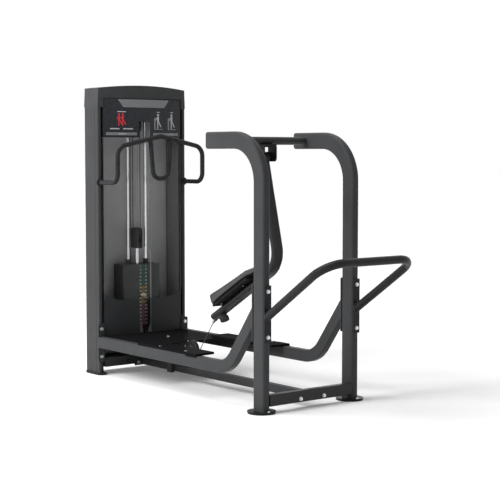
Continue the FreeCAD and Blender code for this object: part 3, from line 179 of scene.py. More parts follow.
# Lining of the tower, pale sheets that paint in light, and edges of its sheets, pale strips that paint in
# highlights
lining_thickness = 1 * MM
lining_offset = 0.7 * MM
lining_setback = 12 * MM
lining_margin = 5 * MM
sheet_line = 0.5 * MM
sheet_inset = 2 * MM
sheet_margin = 4 * MM

# Turned shapes: the distance along the axis and the radius, in millimetres
fork_pin = [(0, 5), (1, 8), (3, 8), (3.2, 5.2), (19, 5.2), (19.2, 7), (21, 7), (22, 5)]
swaged_sleeve = [(0, 5.5), (2, 6), (10, 6), (11, 5), (24, 4.6), (26, 3.4)]
press_stud = [(0, 4), (2, 4), (3, 3.2), (3.4, 1.6)]
foot_bolt = [(0, 9), (2.2, 9), (2.6, 8.4), (2.7, 6.5), (6, 6.5), (7, 5.4)]

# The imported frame
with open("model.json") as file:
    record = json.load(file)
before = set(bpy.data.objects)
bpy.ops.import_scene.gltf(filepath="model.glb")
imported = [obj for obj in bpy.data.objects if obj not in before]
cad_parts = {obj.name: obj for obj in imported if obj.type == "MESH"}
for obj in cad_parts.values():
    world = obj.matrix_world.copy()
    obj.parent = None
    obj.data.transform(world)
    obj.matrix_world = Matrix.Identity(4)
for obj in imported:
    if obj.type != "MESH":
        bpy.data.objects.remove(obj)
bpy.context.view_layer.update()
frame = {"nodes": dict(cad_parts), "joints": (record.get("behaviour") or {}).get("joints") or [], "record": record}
nodes = frame["nodes"]
joints = {joint["name"]: joint for joint in frame["joints"]}
pivot = Vector(joints["arm_swing"]["pos_m"])


# Shader nodes

def add(tree, kind, **settings):
    """A new shader node with some of its settings."""
    node = tree.nodes.new("ShaderNode" + kind)
    for key, value in settings.items():
        setattr(node, key, value)
    return node


def surface(name, colour, rough, metal=0.0):
    """A new material with one main shader; returns the material, its tree and the shader."""
    material = bpy.data.materials.new(name)
    material.use_nodes = True
    tree = material.node_tree
    tree.nodes.clear()
    shader = add(tree, "BsdfPrincipled")
    output = add(tree, "OutputMaterial")
    tree.links.new(shader.outputs["BSDF"], output.inputs["Surface"])
    shader.inputs["Base Color"].default_value = (*colour, 1.0)
    shader.inputs["Roughness"].default_value = rough
    shader.inputs["Metallic"].default_value = metal
    return material, tree, shader


def placed(tree, pattern, scale, stretch):
    """Sticks a pattern to the object; its scale is in cells per metre."""
    place = add(tree, "TexCoord")
    mapping = add(tree, "Mapping")
    mapping.inputs["Scale"].default_value = stretch
    pattern.inputs["Scale"].default_value = scale
    tree.links.new(place.outputs["Object"], mapping.inputs["Vector"])
    tree.links.new(mapping.outputs["Vector"], pattern.inputs["Vector"])


def grain(tree, scale, detail=3.0, stretch=(1.0, 1.0, 1.0)):
    """A noise of some scale and detail."""
    noise = add(tree, "TexNoise")
    noise.inputs["Detail"].default_value = detail
    placed(tree, noise, scale, stretch)
    return noise.outputs["Fac"]


def cells(tree, scale):
    """Irregular cells, with a low value along their borders."""
    pattern = add(tree, "TexVoronoi", feature="DISTANCE_TO_EDGE")
    placed(tree, pattern, scale, (1.0, 1.0, 1.0))
    return pattern.outputs["Distance"]


def remap(tree, value, from_low, from_high, to_low, to_high):
    """A value stretched from one range to another and held inside it."""
    node = add(tree, "MapRange")
    limits = {"From Min": from_low, "From Max": from_high, "To Min": to_low, "To Max": to_high}
    for name, number in limits.items():
        node.inputs[name].default_value = number
    tree.links.new(value, node.inputs["Value"])
    return node.outputs["Result"]


def blend_colours(tree, factor, first, second):
    """A colour between two others; each is three numbers or another node's output."""
    node = add(tree, "Mix", data_type="RGBA")
    tree.links.new(factor, node.inputs[0])
    for socket, colour in ((node.inputs[6], first), (node.inputs[7], second)):
        if isinstance(colour, bpy.types.NodeSocket):
            tree.links.new(colour, socket)
        else:
            socket.default_value = (*colour, 1.0)
    return node.outputs[2]


def soft_edges(tree, radius):
    """A mask that is 1 along the edges, and a normal that rounds them."""
    rounded = add(tree, "Bevel", samples=4)
    rounded.inputs["Radius"].default_value = radius
    true_normal = add(tree, "NewGeometry")
    dot = add(tree, "VectorMath", operation="DOT_PRODUCT")
    tree.links.new(rounded.outputs["Normal"], dot.inputs[0])
    tree.links.new(true_normal.outputs["Normal"], dot.inputs[1])
    mask = remap(tree, dot.outputs["Value"], 0.995, 0.80, 0.0, 1.0)
    return mask, rounded.outputs["Normal"]


def relief(tree, shader, height, depth, normal=None):
    """Surface relief from a height pattern, of some depth in metres."""
    bump = add(tree, "Bump")
    bump.inputs["Distance"].default_value = depth
    tree.links.new(height, bump.inputs["Height"])
    if normal is not None:
        tree.links.new(normal, bump.inputs["Normal"])
    tree.links.new(bump.outputs["Normal"], shader.inputs["Normal"])


def scaled(colour, share):
    """A colour made lighter or darker."""
    return tuple(min(1.0, channel * share) for channel in colour)


def clouded(tree, colour, scale, detail, darker, lighter):
    """A colour in soft clouds, between a darker and a lighter share of it."""
    clouds = remap(tree, grain(tree, scale, detail), 0.3, 0.7, 0.0, 1.0)
    return blend_colours(tree, clouds, scaled(colour, darker), scaled(colour, lighter))


def product(tree, first, second):
    """Two values multiplied."""
    node = add(tree, "Math", operation="MULTIPLY")
    tree.links.new(first, node.inputs[0])
    tree.links.new(second, node.inputs[1])
    return node.outputs[0]


def paint(tree, shader, colour):
    """Sets a shader's colour to a node's output."""
    tree.links.new(colour, shader.inputs["Base Color"])


def roughen(tree, shader, pattern, low, high, from_low=0.3, from_high=0.7):
    """Lets a shader's roughness follow a pattern between two values."""
    tree.links.new(remap(tree, pattern, from_low, from_high, low, high), shader.inputs["Roughness"])


# Materials

def painted_metal(name, colour, rough, gloss=0.20, sheen=0.0, peel=900.0, peel_depth=0.012 * MM,
                  edge_wear_and_highlight=(0.16, 0.16, 0.165), wear=0.35):
    """Powder coat: a fine orange peel, faint clouds, and edges a little brighter in patches: partly wear, partly a
    painted highlight along the edges.
    """
    material, tree, shader = surface(name, colour, rough, metal=sheen)
    shader.inputs["Specular IOR Level"].default_value = gloss
    mask, normal = soft_edges(tree, 1.2 * MM)
    body = clouded(tree, colour, 6.0, 4.0, 0.93, 1.07)
    # The edge mask times a patchy noise lightens the paint at the edges, up to the wear setting: partly wear,
    # partly a painted highlight where rounded edges catch the light.
    rubbed_and_highlit = remap(tree, grain(tree, 45.0, 5.0), 0.42, 0.62, 0.0, wear)
    paint(tree, shader, blend_colours(tree, product(tree, mask, rubbed_and_highlit), body, edge_wear_and_highlight))
    roughen(tree, shader, grain(tree, 18.0, 4.0), rough - 0.05, rough + 0.07)
    relief(tree, shader, grain(tree, peel, 2.0), peel_depth, normal)
    return material


def bright_zinc():
    """Zinc-plated steel: soft clouds in the plating and fine turning marks."""
    colour = (0.66, 0.67, 0.68)
    material, tree, shader = surface("zinc", colour, 0.30, metal=1.0)
    _, normal = soft_edges(tree, 0.6 * MM)
    paint(tree, shader, clouded(tree, colour, 220.0, 3.0, 0.88, 1.08))
    roughen(tree, shader, grain(tree, 500.0), 0.22, 0.40)
    relief(tree, shader, grain(tree, 1500.0, 2.0), 0.02 * MM, normal)
    return material


def polished_chrome():
    """Chrome plate with hair-fine wear along the rods."""
    colour = (0.80, 0.80, 0.82)
    material, tree, shader = surface("chrome_plate", colour, 0.10, metal=1.0)
    streaks = grain(tree, 900.0, 4.0, stretch=(1.0, 1.0, 0.02))
    roughen(tree, shader, streaks, 0.06, 0.20, from_low=0.35)
    paint(tree, shader, clouded(tree, colour, 12.0, 3.0, 0.92, 1.0))
    relief(tree, shader, streaks, 0.004 * MM)
    return material


def moulded_plastic(name, colour, rough, gloss=0.25, texture=1400.0, depth=0.02 * MM):
    """Moulded plastic: a fine spark-eroded texture, and edges lighter in colour: a painted highlight along the
    edges, with a slightly polished look.
    """
    material, tree, shader = surface(name, colour, rough)
    shader.inputs["Specular IOR Level"].default_value = gloss
    mask, normal = soft_edges(tree, 0.8 * MM)
    body = clouded(tree, colour, 9.0, 3.0, 0.92, 1.08)
    # The edges are painted lighter than the body: a painted highlight where the edges catch the light.
    paint(tree, shader, blend_colours(tree, mask, body, scaled(colour, 1.35)))
    roughen(tree, shader, grain(tree, 60.0, 4.0), rough - 0.06, rough + 0.06)
    relief(tree, shader, grain(tree, texture, 2.0), depth, normal)
    return material


def smoked_sheet():
    """Smoked clear sheet, with a faint haze, and cleaning marks in its gloss."""
    colour = (0.030, 0.031, 0.034)
    material, tree, shader = surface("smoked_sheet", colour, 0.14)
    shader.inputs["Alpha"].default_value = 0.08
    shader.inputs["IOR"].default_value = 1.49
    paint(tree, shader, clouded(tree, colour, 5.0, 4.0, 0.85, 1.15))
    wiped = grain(tree, 30.0, 5.0, stretch=(1.0, 1.0, 0.25))
    roughen(tree, shader, wiped, 0.08, 0.20, from_low=0.35)
    relief(tree, shader, grain(tree, 4.0, 1.0), 0.02 * MM)
    return material


def cast_iron(name, colour):
    """Painted cast iron: a grainy skin, with the paint knocked off the edges."""
    material, tree, shader = surface(name, colour, 0.50)
    mask, normal = soft_edges(tree, 1.2 * MM)
    chips = remap(tree, grain(tree, 160.0, 5.0), 0.50, 0.60, 0.0, 0.7)
    body = clouded(tree, colour, 25.0, 4.0, 0.85, 1.15)
    paint(tree, shader, blend_colours(tree, product(tree, mask, chips), body, (0.20, 0.20, 0.20)))
    roughen(tree, shader, grain(tree, 70.0), 0.42, 0.60)
    relief(tree, shader, grain(tree, 420.0, 4.0), 0.06 * MM, normal)
    return material


def black_rubber():
    """Matte moulded rubber with a dusty bloom."""
    colour = (0.022, 0.022, 0.023)
    material, tree, shader = surface("moulded_rubber", colour, 0.72)
    shader.inputs["Specular IOR Level"].default_value = 0.15
    bloom = remap(tree, grain(tree, 30.0, 5.0), 0.40, 0.72, 0.0, 0.6)
    paint(tree, shader, blend_colours(tree, bloom, colour, (0.060, 0.058, 0.056)))
    roughen(tree, shader, grain(tree, 90.0), 0.62, 0.82)
    relief(tree, shader, grain(tree, 1100.0), 0.08 * MM)
    return material


def upholstery_vinyl():
    """Black upholstery vinyl: pebbled grain over faint pull lines, with a satin top coat."""
    colour = (0.056, 0.057, 0.059)
    material, tree, shader = surface("upholstery", colour, 0.50)
    shader.inputs["Specular IOR Level"].default_value = 0.30
    pebbles = cells(tree, 620.0)
    pulls = grain(tree, 24.0, 3.0, stretch=(1.0, 3.0, 1.0))
    height = add(tree, "Math", operation="MULTIPLY_ADD")
    tree.links.new(remap(tree, pebbles, 0.0, 0.28, 0.0, 1.0), height.inputs[0])
    height.inputs[1].default_value = 0.35
    tree.links.new(pulls, height.inputs[2])
    paint(tree, shader, clouded(tree, colour, 14.0, 4.0, 0.88, 1.12))
    roughen(tree, shader, pebbles, 0.56, 0.40, from_low=0.0, from_high=0.25)
    relief(tree, shader, height.outputs[0], 0.35 * MM)
    return material


def painted_board():
    """Plywood painted black: the grain still reads through the paint."""
    colour = (0.014, 0.014, 0.014)
    material, tree, shader = surface("painted_board", colour, 0.60)
    shader.inputs["Specular IOR Level"].default_value = 0.05
    fibres = grain(tree, 260.0, 4.0, stretch=(0.12, 1.0, 0.12))
    ridges = remap(tree, fibres, 0.4, 0.7, 0.0, 1.0)
    paint(tree, shader, blend_colours(tree, ridges, colour, (0.028, 0.027, 0.026)))
    roughen(tree, shader, fibres, 0.52, 0.68)
    relief(tree, shader, fibres, 0.15 * MM)
    return material


def cable_jacket():
    """Black jacket over a steel cable: the strands show as a faint twist."""
    colour = (0.020, 0.020, 0.021)
    material, tree, shader = surface("cable_jacket", colour, 0.38)
    twist = grain(tree, 420.0, 2.0, stretch=(1.0, 1.0, 0.5))
    ridges = remap(tree, twist, 0.35, 0.65, 0.0, 1.0)
    paint(tree, shader, blend_colours(tree, ridges, colour, (0.040, 0.040, 0.041)))
    roughen(tree, shader, twist, 0.30, 0.48)
    relief(tree, shader, twist, 0.12 * MM)
    return material


def printed(name, colour):
    """Ink on a plastic film: even colour with a slight screen grain."""
    material, tree, shader = surface(name, colour, 0.42)
    paint(tree, shader, clouded(tree, colour, 700.0, 2.0, 0.90, 1.06))
    roughen(tree, shader, grain(tree, 40.0), 0.36, 0.48)
    relief(tree, shader, grain(tree, 1600.0, 2.0), 0.02 * MM)
    return material


looks = {
    "frame_paint": painted_metal("graphite_coat", (0.051, 0.052, 0.054), 0.40, gloss=0.12),
    "deck_paint": painted_metal("deck_coat", (0.011, 0.011, 0.012), 0.20, gloss=0.0, sheen=0.04, wear=0.2,
                                edge_wear_and_highlight=(0.05, 0.05, 0.05)),
    # The rear panel is light grey, and its colour is set lighter still to make up for the shade inside the tower:
    # partly its own colour, partly painted light.
    "panel_paint": painted_metal("panel_coat_lightened", (0.56, 0.56, 0.57), 0.45, wear=0.0),
    "bolt_steel": bright_zinc(),
    "chrome": polished_chrome(),
    "cap_plastic": moulded_plastic("cap_moulding", (0.052, 0.053, 0.055), 0.42, gloss=0.15),
    "smoked_plastic": smoked_sheet(),
    "cover_plastic": moulded_plastic("cover_moulding", (0.034, 0.035, 0.037), 0.45, gloss=0.15),
    "placard_plastic": moulded_plastic("placard_film", (0.018, 0.020, 0.025), 0.30, texture=2200.0,
                                       depth=0.01 * MM),
    "plate_iron": cast_iron("plate_casting", (0.022, 0.022, 0.023)),
    "nylon": moulded_plastic("guide_nylon", (0.020, 0.020, 0.021), 0.40),
    "pulley_nylon": moulded_plastic("pulley_moulding", (0.018, 0.018, 0.019), 0.42),
    "cable_coat": cable_jacket(),
    "rubber": black_rubber(),
    "vinyl": upholstery_vinyl(),
    "board": painted_board(),
    "pin_plastic": moulded_plastic("pin_knob", (0.44, 0.46, 0.36), 0.35),
}
ink_white = printed("ink_white", (0.80, 0.80, 0.80))
ink_grey = printed("ink_grey", (0.22, 0.225, 0.235))
ink_pale = printed("ink_pale", (0.60, 0.60, 0.60))
ink_red = printed("ink_red", (0.80, 0.035, 0.050))
label_black = printed("label_black", (0.014, 0.014, 0.015))
band_inks = [
    (printed("band_green", (0.012, 0.060, 0.040)), printed("number_green", (0.36, 0.56, 0.50))),
    (printed("band_yellow", (0.21, 0.13, 0.015)), printed("number_yellow", (0.62, 0.58, 0.38))),
    (printed("band_red", (0.11, 0.012, 0.026)), printed("number_red", (0.55, 0.52, 0.50))),
]
header_grey = printed("header_grey", (0.21, 0.215, 0.225))
# Darker copies of the frame paint for some solids. The pivot bracket, the round feet and the handle and guard
# tubes take them as darker paint; on the lever and the cross member the darker coat is partly painted shade, for
# the shade these parts sit in.
arm_coat_with_painted_shade = painted_metal("arm_coat_with_painted_shade", (0.022, 0.0225, 0.024), 0.32, gloss=0.25)
black_coat = painted_metal("black_coat", (0.012, 0.012, 0.013), 0.34, gloss=0.15, edge_wear_and_highlight=(0.06, 0.06, 0.06))
tube_coat = painted_metal("tube_coat", (0.022, 0.0225, 0.024), 0.28, gloss=0.13)
# Pale grey for the column lining: painted light on faces that lie in shade inside the tower.
painted_light_lining_coat = painted_metal("painted_light_lining_coat", (0.15, 0.15, 0.152), 0.50, gloss=0.10, wear=0.0)
darker_paint_and_shade_nodes = {
    "arm_tube": arm_coat_with_painted_shade, "arm_hub": arm_coat_with_painted_shade, "arm_end_cap": arm_coat_with_painted_shade, "cross_member": arm_coat_with_painted_shade,
    "pivot_bracket": black_coat, "cushion_tubes": black_coat, "pad_brackets": black_coat,
    "stack_cushions": black_coat,
    "handle": tube_coat, "guard_rail": tube_coat, "floor_plates": black_coat,
}
weld_paint = painted_metal("weld_coat", (0.058, 0.059, 0.061), 0.42, peel=300.0, peel_depth=0.1 * MM,
                           wear=0.15)
# Pale strips on the cut edges of the sheets: painted highlights.
sheet_edge_highlight = moulded_plastic("sheet_edge_highlight", (0.20, 0.21, 0.21), 0.25)
cover_edge_highlight = moulded_plastic("cover_edge_highlight", (0.085, 0.100, 0.090), 0.35)
# Near black cloth for the pad's underside: partly a base cloth, partly painted shade where the underside lies in
# shade.
shaded_base_cloth = painted_metal("shaded_base_cloth", (0.012, 0.012, 0.012), 0.70, gloss=0.05, peel=1500.0,
                           peel_depth=0.15 * MM, wear=0.0)
stitch_thread = printed("stitch_thread", (0.050, 0.050, 0.052))


def dress_solids():
    """Gives every solid of the frame the material of its slot, or a darker one of its own, which on the lever and
    the cross member is partly painted shade.
    """
    for part in frame["record"]["subparts"]:
        solid = nodes[part["node"]]
        solid.data.materials.clear()
        solid.data.materials.append(darker_paint_and_shade_nodes.get(part["node"], looks[part["material_slot"]]))


# Meshes

def link(made):
    """Puts a new object into the scene."""
    bpy.context.scene.collection.objects.link(made)


def piece(name, shape, materials, body, smooth=True):
    """A mesh object from a shape's points and faces; each face carries the index of its material."""
    mesh = bpy.data.meshes.new(name)
    mesh.from_pydata([tuple(point) for point in shape.verts], [], [face[0] for face in shape.faces])
    for material in materials:
        mesh.materials.append(material)
    for polygon, (_, index) in zip(mesh.polygons, shape.faces):
        polygon.material_index = index
        polygon.use_smooth = smooth
    mesh.validate()
    mesh.update()
    made = bpy.data.objects.new(name, mesh)
    link(made)
    if body:
        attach(made, body)
    return made


class Sculpt:
    """Points and faces that are gathered for one piece."""

    def __init__(self):
        self.verts = []
        self.faces = []

    def ring(self, centre, across, upward, radius, sides):
        """Adds a circle of points and returns their numbers."""
        first = len(self.verts)
        for step in range(sides):
            angle = 2 * math.pi * step / sides
            reach = across * (radius * math.cos(angle))
            rise = upward * (radius * math.sin(angle))
            self.verts.append(centre + reach + rise)
        return list(range(first, first + sides))

    def bridge(self, lower, upper):
        """Joins two rings of the same count with quads."""
        count = len(lower)
        for step in range(count):
            following = (step + 1) % count
            self.faces.append(((lower[step], lower[following], upper[following], upper[step]), 0))

    def cap(self, ring, flip=False):
        """Closes a ring."""
        self.faces.append((tuple(reversed(ring)) if flip else tuple(ring), 0))

    def tube(self, points, radius, sides, closed=False, ripple=0.0):
        """A tube along points; ripple swells it at every other ring, as a weld bead does."""
        rings = []
        count = len(points)
        normal = None
        for step, point in enumerate(points):
            if closed:
                ahead = points[(step + 1) % count] - points[step - 1]
            else:
                ahead = points[min(step + 1, count - 1)] - points[max(step - 1, 0)]
            ahead = ahead.normalized()
            if normal is None:
                normal = ahead.orthogonal().normalized()
            normal = (normal - ahead * normal.dot(ahead)).normalized()
            across = ahead.cross(normal)
            wave = 1.0 + ripple * math.cos(math.pi * step)
            rings.append(self.ring(point, normal, across, radius * wave, sides))
        for step in range(count - 1):
            self.bridge(rings[step], rings[step + 1])
        if closed:
            shift = self.nearest_turn(rings[-1], rings[0])
            turned = rings[0][shift:] + rings[0][:shift]
            self.bridge(rings[-1], turned)
        else:
            self.cap(rings[0], flip=True)
            self.cap(rings[-1])

    def nearest_turn(self, ring, other):
        """How many places to turn the other ring by, so that its points face this ring's."""
        start = self.verts[ring[0]]
        spans = [(self.verts[number] - start).length for number in other]
        return spans.index(min(spans))

    def lathe(self, start, ahead, profile, sides=24):
        """A turned shape; its profile gives distances along the axis and radii, in millimetres."""
        ahead = ahead.normalized()
        across = ahead.orthogonal().normalized()
        upward = ahead.cross(across)
        rings = [self.ring(start + ahead * (along * MM), across, upward, radius * MM, sides)
                 for along, radius in profile]
        for lower, upper in zip(rings, rings[1:]):
            self.bridge(lower, upper)
        self.cap(rings[0], flip=True)
        self.cap(rings[-1])

    def slab(self, centre, axes, sizes, edge, index=0):
        """A block with bevelled edges; axes are three unit vectors, sizes its full lengths."""
        work = bmesh.new()
        bmesh.ops.create_cube(work, size=1.0)
        for vert in work.verts:
            vert.co = Vector(vert.co[axis] * sizes[axis] for axis in range(3))
        bmesh.ops.bevel(work, geom=work.edges[:], offset=edge, segments=2, affect="EDGES", profile=0.5)
        first = len(self.verts)
        for vert in work.verts:
            self.verts.append(centre + axes[0] * vert.co.x + axes[1] * vert.co.y + axes[2] * vert.co.z)
        for face in work.faces:
            self.faces.append((tuple(first + vert.index for vert in face.verts), index))
        work.free()


AXES = (Vector((1, 0, 0)), Vector((0, 1, 0)), Vector((0, 0, 1)))


def middle(node):
    """The centre of a solid's box."""
    low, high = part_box(node)
    return (low + high) / 2


# Places on the lever

elbow = pivot + Vector((arm_upper_drop * math.tan(arm_tilt), 0, -arm_upper_drop))
along_arm = Vector((-math.cos(arm_slope), 0, -math.sin(arm_slope)))
off_arm = Vector((-math.sin(arm_slope), 0, math.cos(arm_slope)))


def on_arm(distance, lift, y=0.0):
    """A point by its distance along the lower run and its lift over the arm's centreline."""
    return elbow + along_arm * distance + off_arm * lift + AXES[1] * y


cable_eye = on_arm(arm_lower_length + eye_past_arm, -lug_drop)


# Pad

def arm_place(point):
    """A point's distance along the arm's lower run, its place across, and its lift."""
    reach = point - elbow
    return reach.dot(along_arm), reach.y, reach.dot(off_arm)


def remeshed_pad():
    """The pad's solid as an even mesh, a little smaller than the solid."""
    mesh = nodes["pad"].data.copy()
    mesh.materials.clear()
    made = bpy.data.objects.new("pad_cover", mesh)
    link(made)
    even = made.modifiers.new("even", "REMESH")
    even.mode = "VOXEL"
    even.voxel_size = cover_cell
    shrink = made.modifiers.new("shrink", "DISPLACE")
    shrink.strength = -cover_inset
    shrink.mid_level = 0.0
    relax = made.modifiers.new("relax", "SMOOTH")
    relax.factor = 0.5
    relax.iterations = 2
    apply_modifiers(made)
    return made


def apply_modifiers(made):
    """Bakes an object's modifiers into its mesh."""
    graph = bpy.context.evaluated_depsgraph_get()
    baked = bpy.data.meshes.new_from_object(made.evaluated_get(graph))
    made.modifiers.clear()
    made.data = baked


def swell(made, limit):
    """Inflates a cover by a cloth simulation; its underside stays on the board, and no point moves far."""
    rest = [vert.co.copy() for vert in made.data.vertices]
    held = made.vertex_groups.new(name="held")
    for vert in made.data.vertices:
        _, _, lift = arm_place(vert.co)
        if lift < pad_seat + cover_cell:
            held.add([vert.index], 1.0, "REPLACE")
    cloth = made.modifiers.new("cloth", "CLOTH")
    cloth.settings.vertex_group_mass = "held"
    cloth.settings.use_pressure = True
    cloth.settings.uniform_pressure_force = cloth_pressure
    cloth.settings.effector_weights.gravity = 0.0
    cloth.settings.tension_stiffness = cloth_stretch
    cloth.settings.compression_stiffness = cloth_stretch
    cloth.settings.shear_stiffness = cloth_shear
    for number in range(1, cloth_steps + 1):
        bpy.context.scene.frame_set(number)
    apply_modifiers(made)
    made.vertex_groups.clear()
    for vert, start in zip(made.data.vertices, rest):
        move = vert.co - start
        if move.length > limit:
            vert.co = start + move * (limit / move.length)
    bpy.context.scene.frame_set(1)


def pad_cover():
    """The upholstered cover of the pad, swollen by its foam; its underside faces get a near black base cloth,
    which is partly painted shade under the pad.
    """
    made = remeshed_pad()
    swell(made, cover_swell)
    finer = made.modifiers.new("finer", "SUBSURF")
    finer.levels = 1
    finer.render_levels = 1
    apply_modifiers(made)
    made.data.materials.append(looks["vinyl"])
    made.data.materials.append(shaded_base_cloth)
    for polygon in made.data.polygons:
        polygon.use_smooth = True
        # Faces that look down from the arm's plane take the near black base cloth, partly painted shade.
        polygon.material_index = 1 if polygon.normal.dot(off_arm) < underside_limit else 0
    return made


def pad_outline(count, margin):
    """Points round the pad in its own plane, and the pad's two ends and half width."""
    places = [arm_place(vert.co) for vert in nodes["pad"].data.vertices]
    first = min(place[0] for place in places)
    last = max(place[0] for place in places)
    half = max(place[1] for place in places)
    length = last - first
    path = []
    for step in range(count):
        angle = 2 * math.pi * step / count
        along = math.cos(angle)
        across = math.sin(angle)
        reach = min((length / 2 + margin) / max(abs(along), 1e-6), (half + margin) / max(abs(across), 1e-6))
        path.append(((first + last) / 2 + along * reach, across * reach))
    return path, first, last, half


def seam_points(tree, lift_share, lift_extra):
    """Points on the cover, round its sides, at a share of its thickness."""
    path, first, last, half = pad_outline(outline_points, outline_margin)
    points = []
    end_inset = 12 * MM
    corner_inset = half * 0.8
    for distance, y in path:
        inner = min(max(distance, first + end_inset), last - end_inset)
        above, _, _, _ = tree.ray_cast(on_arm(inner, 0.2), -off_arm)
        below, _, _, _ = tree.ray_cast(on_arm(inner, -0.05), off_arm)
        low = arm_place(below)[2]
        high = arm_place(above)[2]
        lift = low + (high - low) * lift_share + lift_extra
        origin = on_arm(distance, lift, y)
        target = on_arm(min(max(distance, first + corner_inset), last - corner_inset), lift)
        found, _, _, _ = tree.ray_cast(origin, (target - origin).normalized())
        if found is not None:
            points.append(found)
    return even_points(points, seam_step)


def even_points(points, step):
    """Points at even steps round a closed line."""
    closed = points + [points[0]]
    spans = [(b - a).length for a, b in zip(closed, closed[1:])]
    total = sum(spans)
    count = max(8, int(total / step))
    found = []
    index = 0
    passed = 0.0
    for number in range(count):
        want = total * number / count
        while passed + spans[index] < want:
            passed += spans[index]
            index += 1
        share = (want - passed) / max(spans[index], 1e-9)
        found.append(closed[index].lerp(closed[index + 1], share))
    return found


def eased(points, rounds):
    """A closed line with its kinks smoothed."""
    for _ in range(rounds):
        points = [(points[step - 1] + points[step] * 2 + points[(step + 1) % len(points)]) / 4
                  for step in range(len(points))]
    return points


def pad_seams(cover):
    """The welt round the pad's upper edge and the row of stitches beside it."""
    tree = BVHTree.FromObject(cover, bpy.context.evaluated_depsgraph_get())
    welt = Sculpt()
    welt.tube(eased(seam_points(tree, seam_share, 0.0), 6), welt_radius, sides=8, closed=True)
    piece("pad_welt", welt, [looks["vinyl"]], "kick_arm")
    row = eased(seam_points(tree, seam_share, -stitch_drop), 6)
    stitches = Sculpt()
    for number in range(0, len(row) - 2, 3):
        start = row[number]
        end = row[number + 1].lerp(row[number + 2], 0.2)
        stitches.tube([start, start.lerp(end, 0.5), end], stitch_radius, sides=6)
    piece("pad_stitches", stitches, [stitch_thread], "kick_arm")


def make_pad():
    """The cover with its welt and stitches, in the place of the pad's solid."""
    cover = pad_cover()
    pad_seams(cover)
    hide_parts("pad")
    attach(cover, "kick_arm")


# Cables

def arm_cable():
    """The taut cable from the floor pulley to the lever's lug, as a straight tube at rest."""
    low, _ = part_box("arm_cable")
    start = Vector((low.x + cable_radius, 0, low.z + cable_radius))
    towards = (cable_eye - start).normalized()
    end = cable_eye - towards * cable_end_gap
    points = [start.lerp(end, step / lever_cable_steps) for step in range(lever_cable_steps + 1)]
    shape = Sculpt()
    shape.tube(points, cable_radius, sides=cable_sides)
    made = piece("lever_cable", shape, [looks["cable_coat"]], None)
    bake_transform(made)
    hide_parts("arm_cable")
    fitting = cable_fitting(towards)


def cable_fitting(towards):
    """The fork, pin and swaged sleeve that join the cable to the lever's lug."""
    shape = Sculpt()
    across = AXES[1]
    axes = (towards, across, towards.cross(across).normalized())
    for side in SIDES:
        centre = cable_eye - towards * (fitting_length / 2 - fork_past_eye) + across * (side * fork_side)
        shape.slab(centre, axes, (fitting_length, fork_thickness, fitting_height), 1 * MM)
    bridge_place = cable_eye - towards * (fitting_length - bridge_inset)
    shape.slab(bridge_place, axes, (bridge_length, bridge_width, fitting_height), 1 * MM)
    shape.lathe(cable_eye - across * fork_pin_half, across, fork_pin)
    shape.lathe(bridge_place - towards * 2 * MM, -towards, swaged_sleeve)
    return piece("cable_fitting", shape, [looks["bolt_steel"]], "kick_arm", smooth=False)


def stack_strands():
    """The two strands over the stack pulley."""
    low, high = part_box("stack_cable")
    length = high.z - low.z
    shape = Sculpt()
    for x in (low.x + cable_radius, high.x - cable_radius):
        points = [Vector((x, 0, low.z + length * step / strand_steps)) for step in range(strand_steps + 1)]
        shape.tube(points, cable_radius, sides=cable_sides)
    made = piece("stack_strands", shape, [looks["cable_coat"]], "frame")
    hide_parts("stack_cable")
    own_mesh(made)


# Welds

def circle(centre, across, upward, half_a, half_b):
    """Points on an ellipse at about even steps."""
    count = 2 * int(math.pi * (half_a + half_b) / bead_step / 2)
    return [centre + across * (half_a * math.cos(2 * math.pi * number / count))
            + upward * (half_b * math.sin(2 * math.pi * number / count)) for number in range(count)]


def round_rectangle(centre, half_a, half_b, corner):
    """Points round a flat rectangle with round corners."""
    points = []
    for side_a, side_b, start in ((1, 1, 0), (-1, 1, 90), (-1, -1, 180), (1, -1, 270)):
        for turn in range(0, 91, 15):
            angle = math.radians(start + turn)
            points.append(centre + AXES[0] * (side_a * (half_a - corner) + corner * math.cos(angle))
                          + AXES[1] * (side_b * (half_b - corner) + corner * math.sin(angle)))
    found = even_points(points, bead_step)
    return found[:len(found) // 2 * 2]


def straight(start, end):
    """Points along a short straight bead."""
    count = max(2, int((end - start).length / bead_step))
    return [start.lerp(end, number / count) for number in range(count + 1)]


def bead(shape, points, closed=True):
    """Adds a weld bead along a line of points."""
    shape.tube(points, bead_radius, sides=8, closed=closed, ripple=bead_ripple)


def frame_welds():
    """Weld beads where tubes meet their plates and posts."""
    shape = Sculpt()
    bar_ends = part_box("crossbar")
    bar_middle = middle("crossbar")
    guard_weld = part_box("guard_rail")[0].x + guard_plate
    post_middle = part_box("near_post")[1].x - post_half_depth
    foot_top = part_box("floor_plates")[1].z
    column_low, column_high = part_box("near_column")
    column_half = (column_high - column_low) / 2
    for side, bar_end, node in ((NEAR, bar_ends[0], "near_column"), (FAR, bar_ends[1], "far_column")):
        lane = side * abs(middle("near_post").y)
        bar_place = Vector((bar_middle.x, bar_end.y, bar_middle.z))
        bead(shape, circle(bar_place, AXES[0], AXES[2], tube_radius, tube_radius))
        guard_place = Vector((guard_weld, lane, guard_start))
        bead(shape, circle(guard_place, AXES[1], AXES[2], tube_radius, tube_radius / math.cos(guard_slope)))
        post_place = Vector((post_middle, lane, foot_top))
        bead(shape, round_rectangle(post_place, post_half_depth, post_half_width, post_corner))
        column_place = Vector((middle(node).x, middle(node).y, foot_top))
        bead(shape, round_rectangle(column_place, column_half.x, column_half.y, column_corner))
    piece("frame_welds", shape, [weld_paint], "frame")


